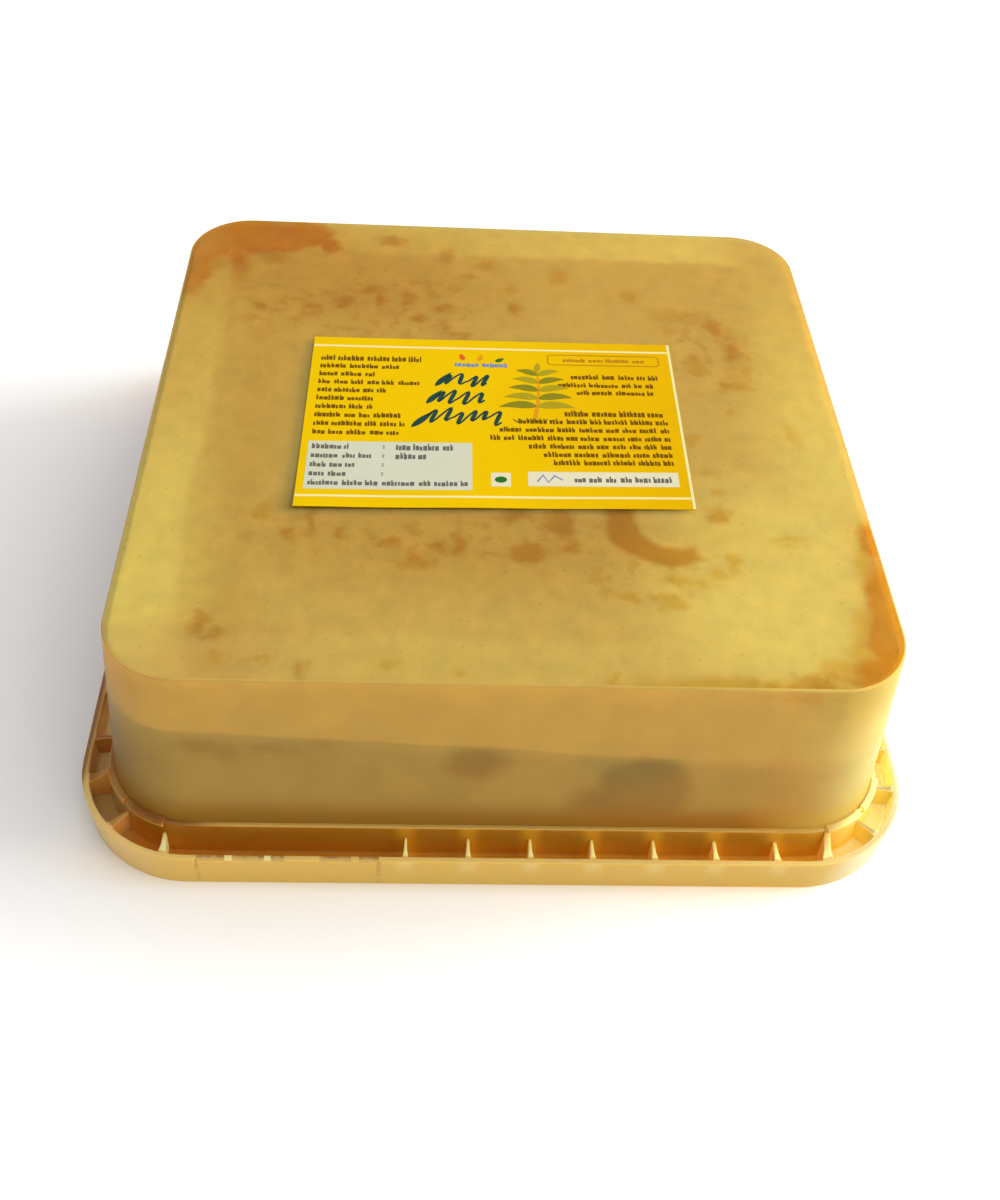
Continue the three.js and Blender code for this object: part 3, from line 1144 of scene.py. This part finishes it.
def moulding_group():
    """The fine unevenness of moulded plastic, as a normal and a haze of handling."""
    outputs = {"Normal": "Vector", "Haze": "Float"}
    tree, given, out = shared_group("moulded face", {"Depth": "Float"}, outputs)
    place_at = here(tree)
    height = clouds(place_at, 1.6, 2.0, 0.5) * 0.25 + clouds(place_at, 14, 2.0, 0.5)
    smear = clouds(derive("Mapping", {"Vector": place_at, "Scale": (1, 0.3, 1)}), 4, 5.0, 0.6)
    bump = {"Strength": given["Depth"], "Distance": 0.6 * MM, "Height": height}
    connect(out["Normal"], derive("Bump", bump))
    connect(out["Haze"], fade(smear, 0.35, 0.75))


def build_shared():
    """Builds the effects that more than one material uses."""
    square_distance_group()
    moulding_group()


# ---- how the jaggery lies against the base -------------------------------------------------

# blotches: middle x, y and half width, half depth in millimetres
WET = [
    (-57, 67.5, 16, 9), (-47, 67, 7.5, 5.5), (-68, 62, 6, 6.5), (-71.5, 52, 4.2, 10), (-72.5, 45, 3.4, 5.5),
    (-61.8, 57, 2.2, 5), (-39.8, 63, 2.8, 3), (72.8, -55, 5.5, 14), (71, -62, 5.6, 8.5),
    (67, -68.7, 5.8, 3.8), (65, -71, 3.5, 2), (72.2, -35.5, 2.7, 5),
]
DAMP = [
    (-60, 51, 1.6, 4), (-53, 56.8, 2.6, 2), (-67, 56, 3, 4), (70.8, -43, 3, 6), (67.3, -59, 3.3, 5.5),
    (65.5, -65, 3.8, 4), (61.8, -69, 5.2, 3), (40, -73.2, 17, 2.4),
]
# outer and inner oval, and the line a x + b y + c > 0 that ends it
ARCS = [
    ((31.3, -31.3, 12.2, 12.2), (33.4, -30, 7.8, 8), (-1.0, -0.25, 27.9)),
    ((39.5, 23.5, 18, 18), (38.5, 23, 12.5, 12.5), (0.86, 0.51, -49.5)),
]
MOIST = [
    (-25, 65.8, 3.8, 2.3), (4.3, 39.3, 1.7, 2.2), (-35.5, 40, 2.6, 2.8), (-30, 44.6, 4.2, 1.7),
    (-27, 41.5, 1.6, 3), (-21, 42, 1.4, 3.2), (-43.5, 37.8, 2.2, 1.6), (-12, 38.4, 3, 1.6),
    (-12, 31.5, 1.5, 2.4), (-9, 28.5, 3.6, 1.5), (-18.5, 34, 2, 1.8), (50.5, 33.5, 1.8, 2.6),
    (53, 25, 2, 3.4), (11, -32, 3, 5), (12.5, -38.3, 2.4, 1.8), (4.4, -40.5, 4, 3.3), (2, -30.5, 4, 1.6),
    (-9, -38.5, 1.5, 4), (-13.5, -39.3, 2, 1.5), (-23, -38.5, 2.6, 1.2), (-37.8, -34, 1.3, 4),
    (-41.5, -36.5, 2, 1.7), (-56, -60, 1.8, 2.6), (-53, -62.6, 2.4, 1.1), (-36.8, -71, 1, 2.2),
    (54.5, -72, 5, 2.3), (42.3, -29, 2.4, 2.6), (52, -73.7, 10, 2.0),
]
FAINT = [
    (3, 46.5, 2, 1.5), (-6, 51.5, 2.2, 1.5), (55.2, 18.5, 1, 5), (43.8, 19.8, 2.6, 4), (39.5, 32.5, 1.2, 2),
    (49.8, 3.4, 1.4, 1.1), (40.5, -6, 1.6, 1.6), (42.5, -16, 1.8, 1), (44, -22.5, 1.5, 1.3),
    (-17, -43.5, 3, 2.2), (-32.5, -36.5, 1.5, 1.6), (22, -51, 2.4, 1.8), (30.5, -52.5, 3, 2.2),
    (32, -46.8, 3, 1.6), (36.5, -47.4, 3, 1.5), (40.5, -45, 2.6, 1.8), (43.8, -41.8, 1.5, 2.4),
    (55.5, -35.5, 2.8, 1.3), (-44, -68, 1.9, 1), (-8.7, -70.5, 1.3, 1), (18.5, -72, 1.6, 1.4),
    (-56, 32, 2.2, 1.2), (-46, 32.5, 1.8, 1.5), (-54, 37, 2, 1.5), (-15.8, 45.5, 1.2, 2.2),
    (-11.5, 59.5, 1.8, 3.2), (-2, 56.5, 2.6, 2), (15.5, 52.5, 2, 3.6), (31.5, 45.5, 2, 3.2),
    (44.5, 38.3, 3.6, 1.2), (52.3, 12.3, 3.4, 2.1), (62.2, -3.5, 1.2, 3), (-47.5, -31, 1.3, 2.6),
    (-52, -68, 1, 1.3), (-22.7, -69, 1.8, 1.1),
]
SPECKLED = [(-30, 38, 30, 14), (-10, -36, 36, 7), (48, 25, 10, 16), (24, -44, 16, 8)]
DENSE = [(-34, 47, 30, 16), (-52, 12, 1, 24), (-6, -37, 40, 12)]
OPEN = [(58, -48, 28.5, 27), (-72, -50, 10, 26), (71, -12, 13, 42)]
# how softly neighbouring ovals run into one another, in millimetres
OVAL_BLEND = 0.8


def inside_ovals(place_at, ovals):
    """How deep a point lies inside the nearest of some ovals, in millimetres: below 0 outside them."""
    deepest = None
    for x, y, wide, deep in ovals:
        scale = (1 / wide / MM, 1 / deep / MM, 0)
        shift = (-x / wide, -y / deep, 0)
        away = magnitude(vector_maths("MULTIPLY_ADD", place_at, scale, shift))
        size = min(wide, deep)
        depth = away.times(-size, plus=size)
        deepest = depth if deepest is None else maths("SMOOTH_MAX", deepest, depth, OVAL_BLEND)
    return deepest


def strayed(place_at, size, reach):
    """A point moved a little to and fro, so that outlines drawn with it wander. Lengths in millimetres."""
    wander = flat_clouds(place_at, size, 2.0, output="Color")
    aside = vector_maths("SUBTRACT", wander, (0.5, 0.5, 0.5))
    return vector_maths("MULTIPLY_ADD", aside, (reach * MM, reach * MM, 0), place_at)


def ground_and_edge_light(stray, x, y):
    """The ground: a margin of painted light from the sides, open pale places and a denser, browner middle."""
    colours = bpy.context.scene.tub_colours
    edge = larger(abs(x), abs(y + 1.2 * MM))
    # painted light: the margin is paler where light comes in through the side walls
    margin = fade_mm(edge, 60.2, 63.2) * fade_mm(y, -66, -45, 0.25, 1)
    margin *= fade_mm(x, 52, 64, 1, 0.2)
    margin *= fade_mm(y - x, 15, 100, 1, 0.3)
    base = tint(margin, colours.middle, colours.margin)
    base = tint(fade(inside_ovals(stray, OPEN), -13, 11), base, colours.pale)
    base = shade(fade_mm(y, -55, 60), base, colours.rear)
    return shade(fade(inside_ovals(stray, DENSE), -12, 10), base, colours.brown)


def arc_marks(calm, rag, x, y):
    """How deep a point lies inside each of the arcs, in millimetres."""
    arcs = []
    for outer, inner, (a, b, c) in ARCS:
        end = x.times(a / MM, plus=y.times(b / MM, plus=c))
        hollow = inside_ovals(calm, [inner]) * -1.0
        arc = smaller(smaller(inside_ovals(calm, [outer]), end), hollow)
        arcs.append(rag.times(0.4, plus=arc))
    return arcs


def moist_places(place_at, stray, ragged, rag, arc):
    """Where jaggery almost wets the base: blotches, fields of specks and an arc."""
    moist = fade(inside_ovals(stray, MOIST) + rag, -1.2, 1.6, 0, 0.82)
    field = fade(inside_ovals(stray, SPECKLED), -7, 6)
    specks = ragged.times(0.5, plus=flat_clouds(place_at, 5, 2.0) * 0.5)
    specks = field * fade(specks, 0.50, 0.64, 0, 0.42)
    return larger(larger(moist, specks), fade(arc, -0.8, 1.4))


def golden_places(stray, calm, rag, arc):
    """Where jaggery is a little damp: faint blotches, an arc and the surroundings of the wet places."""
    faint = fade(inside_ovals(stray, FAINT) + rag, -1.2, 1.5, 0, 0.7)
    damp = fade(rag.times(0.6, plus=inside_ovals(calm, DAMP)), -2.0, 1.2, 0, 0.8)
    return larger(larger(faint, fade(arc, -1.4, 1.8, 0, 0.4)), damp)


def seen_through_base(tree):
    """Colours of the jaggery that lies against the base: painted-light margin, dense middle, blotches,
    specks.
    """
    colours = bpy.context.scene.tub_colours
    place_at = here(tree)
    stray, calm = strayed(place_at, 5, 4), strayed(place_at, 7, 2.4)
    x, y, _ = split(strayed(place_at, 16, 5))
    ragged = flat_clouds(place_at, 2.8, 1.6, 0.5)
    rag = ragged.times(2.0, plus=-1.0)
    moist_arc, golden_arc = arc_marks(calm, rag, x, y)

    base = ground_and_edge_light(stray, x, y)
    base = shade(moist_places(place_at, stray, ragged, rag, moist_arc), base, colours.moist)
    drenched = rag.times(0.6, plus=inside_ovals(calm, WET))
    wet = larger(fade(drenched, -1.6, 1.3), fade(drenched, -6, 0, 0, 0.14))
    base = shade(golden_places(stray, calm, rag, golden_arc) * (1 - wet), base, colours.golden)
    wet *= fade_mm(x, -73, -64, 0.75, 1)
    richer = fade(flat_clouds(place_at, 9, 2.0), 0.3, 0.65, 0.88, 1)
    base = shade(wet * richer, base, colours.wet)
    base = shade(wet * fade_mm(x, 40, 60), base, (0.97, 0.90, 0.75))
    low_left = fade_mm(y, -66, -56, 1, 0) * fade_mm(x, -50, -25, 1, 0)
    base = shade(low_left, base, (0.96, 0.90, 1.0))

    cells = {"Vector": place_at, "Scale": 1 / (8 * MM)}
    pins = derive("TexVoronoi", cells, "Distance", voronoi_dimensions="2D")
    base = shade(fade(pins, 0.02, 0.06, 0.3, 0), base, colours.moist)
    return shade(1.0, base, fade(flat_clouds(place_at, 4, 3.0, 0.6), 0.3, 0.7, 0.965, 1.03))


# ---- the tub's materials -------------------------------------------------------------------

def moulded_look(base, face):
    """Colour, roughness and normal of moulded plastic."""
    roughness = face["Haze"].times(0.08, plus=0.36)
    return {"Base Color": base, "Roughness": roughness, "Normal": face["Normal"]}


def cloudy(tree, base):
    """Ends a tub material: rough, partly clear plastic that tints the light it lets in."""
    look = moulded_look(base, use(tree, "moulded face", {"Depth": 0.12}))
    look.update({"IOR": 1.22, "Specular IOR Level": 0.3, "Transmission Weight": 0.6})
    give_shader(tree, look, (0.85, 0.72, 0.46))


def base_material():
    """The tub's base, with the jaggery that lies against it, and its rounded edge in painted light."""
    material, tree = new_material("cloudy base")
    distance = use(tree, "square distance")["Distance"]
    x, y, _ = split(here(tree))
    rounding = fade_mm(distance, 72.6, 72.8)
    # the rounded edge is painted lighter at the left, against the shade that falls there
    left = tint(fade_mm(x, -72, -60), (0.82, 0.64, 0.18), (0.585, 0.45, 0.135))
    base = tint(rounding, seen_through_base(tree), tint(fade_mm(x, -5, 30), left, (0.55, 0.42, 0.12)))
    # painted highlight along the front right of the rounded edge
    lit = fade_mm(y, -55, -40, 1, 0) * fade_mm(x, 5, 66)
    base = tint(rounding * lit, base, (0.72, 0.65, 0.18))
    # painted highlight round the front right corner
    base = tint(rounding * fade_mm(x - y, 128, 136), base, (0.77, 0.61, 0.17))
    cloudy(tree, base)
    return material


# darker places behind the front wall: middle x, z and half width, half height in millimetres
SMUDGES = [(-5.5, 29.5, 6, 4.6), (26.5, 22.2, 9.4, 9.6), (19.5, 18.5, 7, 5)]
FAINT_SMUDGES = [
    (-55.5, 33.4, 4.4, 1.8), (-51, 31.5, 2.6, 2), (-43, 33.2, 5, 1.5), (-33, 34.4, 2.6, 0.9),
    (62.8, 27.4, 3, 1),
]
SMEAR = [(52.5, 48.6, 6.5, 1.2)]


def over_level(x, y, height):
    """How high a point lies over the jaggery's free face, taken as flat."""
    fill = bpy.context.scene.fill_sizes
    level = TOP - bpy.context.scene.tub_sizes.base_thick - fill.depth
    return height - y.times(fill.slope_front, plus=x.times(-fill.slope, plus=level))


def smudged(place_at, wall, wander):
    """The front wall's colour with the dark lumps and the smear that show through it."""
    x, y, height = split(place_at)
    in_wall = derive("CombineXYZ", {0: x, 1: height})
    front = y < -60 * MM
    dark = fade(inside_ovals(in_wall, SMUDGES) + wander, -1.8, 2.5)
    faint = fade(inside_ovals(in_wall, FAINT_SMUDGES) + wander, -1.4, 1.4, 0, 0.65)
    wall = shade(larger(dark, faint) * front, wall, (0.81, 0.72, 0.68))
    smear = fade(inside_ovals(in_wall, SMEAR) + wander, -0.8, 0.8)
    return shade(smear * front, wall, (0.95, 0.82, 0.6))


def wall_material():
    """The walls and inside: painted shade where empty behind them, low at the left and by the ring, painted
    light at the corners.
    """
    material, tree = new_material("cloudy plastic")
    colours = bpy.context.scene.tub_colours
    place_at = here(tree)
    x, y, height = split(place_at)
    patchy = fade(clouds(place_at, 9, 2.0), 0.35, 0.65)
    wander = clouds(place_at, 3, 2.0).times(3.0, plus=-1.5)
    wall = tint(patchy, colours.plastic, scaled(colours.plastic, 0.93))
    wall = smudged(place_at, wall, wander)

    over = wander.times(0.6 * MM, plus=over_level(x, y, height))
    # painted shade where the tub is empty behind the wall
    empty = fade_mm(over, -2.4, 0.2, 1, 0) * fade_mm(x, -74, -54)
    wall = shade(empty, wall, (0.93, 0.91, 0.88))
    # painted light at the top of the left corner
    by_left = fade_mm(height, 34, 44) * fade_mm(x, -74, -62, 1, 0)
    wall = shade(by_left, wall, (1.28, 1.13, 1.05))
    # painted shade that takes some red out of the lamp's light inside the wall at the front right
    cool = fade_mm(x, 5, 35) * fade_mm(x, 44, 60, 1, 0)
    wall = shade(empty * cool, wall, (0.88, 0.96, 0.96))
    # painted shade low on the left corner
    shady = fade_mm(x, -76, -58, 1, 0) * fade_mm(height, 26, 39, 1, 0)
    wall = shade(shady, wall, (0.655, 0.565, 0.53))

    # painted shade: the wall browner and darker down by the lid's ring
    low = fade_mm(height, 13, 19.5, 1, 0)
    wall = tint(low, wall, tint(fade_mm(x, 10, 50), colours.dim, scaled(colours.dim, 0.93)))
    # painted light: the right corner glows
    sunny = fade_mm(height.times(0.12, plus=x), 55, 73) * fade_mm(y, -52, -30, 0.9, 0.15)
    wall = tint(sunny, wall, tint(fade_mm(height, 35, 48), (0.77, 0.71, 0.24), (0.64, 0.57, 0.12)))
    # painted glow at the foot of the right corner, by the ring
    wall = tint(low * fade_mm(x, 46, 60, 0, 0.75), wall, (0.82, 0.65, 0.13))
    cloudy(tree, wall)
    return material


# ---- the lid's material --------------------------------------------------------------------

# how far from the middle of a wall its ribs still throw painted light on the skirt and the ring
RIB_LIGHT_END = 57 * MM


class LidPlaces:
    """Where a point of the lid lies: the masks that the lid's colours share."""

    def __init__(self, tree):
        sizes = bpy.context.scene.lid_sizes
        self.place_at = here(tree)
        self.x, self.y, self.height = split(self.place_at)
        self.distance = use(tree, "square distance")["Distance"]
        self.normal = Value(add(tree, "NewGeometry").outputs["Normal"])
        self.facing = split(self.normal)[2]
        self.level = fade(self.facing, 0.6, 0.9)
        self.high = self.level * (self.height > 8.2 * MM)
        self.inner = self.distance < 81.1 * MM
        self.outer = 1 - self.inner
        self.channel = fade_mm(self.distance, 80.7, 81.2, 1, 0)
        self.by_ring = fade_mm(self.distance, 77.0, 77.6, 1, 0)
        self.ring_top = self.height > sizes.ring_height - 0.35 * MM
        self.skirt_top = self.level * fade_mm(self.distance, 80.8, 81.2)
        self.rim = fade_mm(self.x, -82.0, -80.6, 1, 0) * self.outer
        self.rib_side = self.rib_sides()

    def rib_sides(self):
        """Upright faces that look along a wall, as the sides of the ribs do."""
        flat = vector_maths("MULTIPLY", self.place_at, (1, 1, 0))
        cubed = vector_maths("MULTIPLY", vector_maths("MULTIPLY", flat, flat), flat)
        outward = vector_maths("NORMALIZE", cubed)
        facing_out = vector_maths("DOT_PRODUCT", outward, self.normal, output="Value")
        return fade(abs(facing_out), 0.6, 0.75, 1, 0) * fade(self.facing, 0.3, 0.6, 1, 0)

    def near_ribs(self):
        """Light that each rib carries to the skirt and the ring, apart from the tear strip's stretch."""
        sizes = bpy.context.scene.lid_sizes
        x, y = self.x, self.y
        along = derive("Mix", {"Factor": abs(y) > abs(x), "A": y, "B": x})
        turn = maths("FRACT", along / sizes.rib_pitch)
        near = fade(abs(turn - 0.5), 0.03, 0.24, 1, 0) * (abs(along) < RIB_LIGHT_END)
        on_strip = (y < -70 * MM) * (x < sizes.strip_right)
        return near * (1 - on_strip)


def channel_colour(at):
    """The channel and ring in painted shade and light: amber down in the channel, pale rib tops, the tops of
    skirt and ring.
    """
    colours = bpy.context.scene.tub_colours
    near_rib = at.near_ribs()
    # painted glow: the amber lightens towards the right, lower down and beside the ribs
    glow = fade_mm(at.x, -80, 74)
    amber = tint(glow, (0.37, 0.132, 0.0045), (0.50, 0.22, 0.011))
    glowing = tint(glow, (0.535, 0.19, 0.0062), (0.655, 0.318, 0.0185))
    amber = tint(fade_mm(at.height, 4.5, 10.5, 1, 0), amber, glowing)
    amber = tint(near_rib * 0.5, amber, tint(glow, (0.78, 0.35, 0.014), (0.92, 0.50, 0.025)))
    amber = tint(fade_mm(at.x, 46, 70, 0, 0.8), amber, (0.765, 0.40, 0.022))

    # painted light beside the ribs, and painted shade: deep amber down in the channel and by the ring
    deep = fade_mm(at.height, 7.8, 8.45, 1, 0)
    base = tint(near_rib * fade_mm(at.height, 3.5, 7.5, 0, 0.3), colours.lid, colours.bright)
    base = tint(at.channel * larger(deep, at.by_ring), base, amber)
    # painted light on the tops of the ribs
    rib_top = at.channel * at.level * fade_mm(at.distance, 76.6, 80, 0.3, 1)
    base = tint(rib_top * (at.height > 8.3 * MM), base, (1.0, 0.88, 0.40))
    base = tint(at.skirt_top, base, (0.72, 0.55, 0.19))
    base = tint(at.ring_top * fade(at.facing, 0.1, 0.5), base, (0.52, 0.35, 0.09))
    # painted shade on the ring's top at the left
    return tint(at.ring_top * fade_mm(at.x, -62, -52, 0.95, 0), base, (0.26, 0.105, 0.022))


def away_from_light(at, base):
    """Painted light on the sides of the front ribs, and painted shade on the left: dull inner faces, dark
    rim.
    """
    front_rib = at.rib_side * at.channel * fade_mm(at.y, -74, -72, 0.85, 0)
    base = tint(front_rib * (1 - at.by_ring), base, (1.0, 0.87, 0.38))
    front_left = fade_mm(at.y, -68, -62, 1, 0)
    dull = tint(fade_mm(at.y, -66, -46), bpy.context.scene.tub_colours.dull, (0.85, 0.64, 0.32))
    dull = tint(at.rib_side, dull, tint(front_left, (0.50, 0.22, 0.04), (0.76, 0.42, 0.11)))
    dull = tint(at.high, dull, tint(front_left, (0.34, 0.13, 0.025), (0.46, 0.25, 0.06)))
    base = tint(fade_mm(at.x, -74, -69, 1, 0) * at.inner, base, dull)
    return tint(at.rim, base, (0.31, 0.147, 0.043))


def towards_light(at, base):
    """Painted light: the right side, pale and glowing, and the skirt's outside, painted paler at its left end
    too.
    """
    sunny = tint(fade_mm(at.distance, 77.4, 77.9, 1, 0), (0.84, 0.76, 0.42), (0.92, 0.63, 0.12))
    sunny = tint(fade_mm(at.distance, 80.2, 80.7), sunny, (0.90, 0.93, 0.80))
    sunny = tint(at.rib_side, sunny, (0.85, 0.76, 0.22))
    sunny = tint(at.high, sunny, (0.44, 0.38, 0.16))
    sunny = tint(at.high * fade_mm(at.distance, 80.6, 81.0), sunny, (0.80, 0.68, 0.40))
    sunny = tint(at.ring_top, sunny, bpy.context.scene.tub_colours.bright)
    outside = tint(fade_mm(at.y, -74, -60), (0.66, 0.56, 0.26), (0.80, 0.71, 0.56))
    sunny = tint(fade_mm(at.distance, 81.4, 81.9, 0, 0.9), sunny, outside)
    base = tint(fade_mm(at.x, 62, 71) * (at.distance > 76.2 * MM), base, sunny)
    paler = at.outer * fade_mm(at.x, -76, -58, 0.6, 0) * (1 - at.rim)
    base = tint(paler, base, (0.82, 0.60, 0.26))
    return shade(fade_mm(at.x, -60, 70), base, (0.92, 0.94, 0.94))


def bright_tabs(at):
    """The two left tabs of the tear strip, with a painted highlight on their tops."""
    near = []
    for left, right in STRIP_TABS[:2]:
        near.append(fade_mm(abs(at.x - (left + right) / 2 * MM), 0.4, 0.9, 0.8, 0))
    return at.skirt_top * (at.y < -80 * MM) * larger(*near)


def notch_shade(at):
    """Painted shade along the edge of the tear strip's notches, and in the two scores at its ends."""
    sizes = bpy.context.scene.lid_sizes
    ragged = clouds(at.place_at, 1.5, 2.0, 0.5)
    edge = maths("COMPARE", at.height, sizes.skirt_height - sizes.strip_drop, 0.06 * MM)
    edge *= fade(ragged, 0.35, 0.6, 0.25, 0.7)
    edge *= fade(at.y, 0.7 * MM - LID_HALF, 1.0 * MM - LID_HALF, 0.25, 1)
    edge *= (at.x > sizes.strip_left) * (at.x < sizes.strip_right)
    for end in (sizes.strip_left, sizes.strip_right):
        score = fade_mm(abs(at.x - end), 0.2, 0.7, 0.25, 0) * fade(ragged, 0.4, 0.6)
        edge = larger(edge, score)
    return edge * (at.y < -79 * MM)


def lid_material():
    """The lid's plastic in painted light and shade: amber down in the channel, dull away from the light, pale
    towards it.
    """
    material, tree = new_material("lid plastic")
    at = LidPlaces(tree)
    face = use(tree, "moulded face", {"Depth": 0.15})
    base = towards_light(at, away_from_light(at, channel_colour(at)))
    base = tint(face["Haze"] * 0.10, base, scaled(bpy.context.scene.tub_colours.lid, 0.8))
    base = tint(bright_tabs(at), base, (0.96, 0.84, 0.46))
    # painted shade at the tear strip's notches and scores
    base = tint(notch_shade(at), base, (0.24, 0.12, 0.07))
    look = moulded_look(base, face)
    look.update({"IOR": 1.49, "Specular IOR Level": 0.25})
    look.update({"Subsurface Weight": 1.0, "Subsurface Radius": (1.0, 0.55, 0.2), "Subsurface Scale": 2 * MM})
    give_shader(tree, look, (0.94, 0.82, 0.55))
    return material


# ---- contents, paper and ink ---------------------------------------------------------------

def jaggery_material():
    """Set jaggery, grainy, with darker lumps under it."""
    material, tree = new_material("set jaggery")
    colours = bpy.context.scene.tub_colours
    place_at = here(tree)
    over = over_level(*split(place_at))
    mottle = fade(clouds(place_at, 5, 4.0, 0.65), 0.3, 0.7)
    grain = clouds(place_at, 0.9, 4.0, 0.6)
    base = tint(mottle, scaled(colours.jaggery, 0.88), scaled(colours.jaggery, 1.12))
    give_shader(tree, {
        "Base Color": tint(fade_mm(over, -2.6, -1.2), colours.lump, base),
        "Roughness": fade(grain, 0.3, 0.7, 0.5, 0.7),
        "Normal": derive("Bump", {"Strength": 0.5, "Distance": 0.4 * MM, "Height": grain}),
    })
    return material


def paper_look(tree, value):
    """Colour, roughness and normal of a coated printed sheet."""
    place_at = here(tree)
    fibres = clouds(place_at, 0.5, 3.0, 0.6)
    rub = clouds(place_at, 9, 4.0, 0.6)
    base = tint(fade(rub, 0.35, 0.8, 0, 0.14), value, scaled(value, 0.72))
    return {
        "Base Color": tint(fade(fibres, 0.45, 0.8, 0, 0.08), base, scaled(value, 1.2)),
        "Roughness": fade(rub, 0.3, 0.7, 0.38, 0.5),
        "Specular IOR Level": 0.01,
        "Normal": derive("Bump", {"Strength": 0.12, "Distance": 0.1 * MM, "Height": fibres}),
    }


def label_material():
    """Coated label paper, printed yellow."""
    material, tree = new_material("label paper")
    look = paper_look(tree, bpy.context.scene.tub_colours.label)
    right = fade_mm(split(here(tree))[0], -10, 40)
    look["Base Color"] = shade(right, look["Base Color"], (0.93, 0.83, 1.0))
    give_shader(tree, look)
    return material


def ink_material(name, value):
    """A film of ink on the label."""
    material, tree = new_material(name)
    give_shader(tree, paper_look(tree, value))
    return material


# ---- panel and registration ----------------------------------------------------------------

OPERATORS = [MakeStage, MakeTub, MakeJaggery, MakeLid, MakeLabel, PrintLabel]


class TubPanel(bpy.types.Panel):
    """Lists the pieces of the tub of jaggery"""

    bl_idname = "VIEW3D_PT_jaggery_tub"
    bl_label = "Tub of jaggery"
    bl_space_type = "VIEW_3D"
    bl_region_type = "UI"
    bl_category = "Tub"

    def draw(self, context):
        for maker in OPERATORS:
            self.layout.operator(maker.bl_idname)
        for name, group in SETTINGS.items():
            box = self.layout.box()
            for key in group.__annotations__:
                box.prop(getattr(context.scene, name), key)


CLASSES = [*SETTINGS.values(), *OPERATORS, TubPanel]


def register():
    """Makes the settings, operators and panel known."""
    for kind in CLASSES:
        bpy.utils.register_class(kind)
    for name, group in SETTINGS.items():
        setattr(bpy.types.Scene, name, bpy.props.PointerProperty(type=group))


def unregister():
    """Takes the settings, operators and panel away again."""
    for name in SETTINGS:
        delattr(bpy.types.Scene, name)
    for kind in reversed(CLASSES):
        bpy.utils.unregister_class(kind)


def main():
    """Builds everything."""
    register()
    build_shared()
    for maker in OPERATORS:
        group, name = maker.bl_idname.split(".")
        getattr(getattr(bpy.ops, group), name)()


if __name__ == "__main__":
    main()
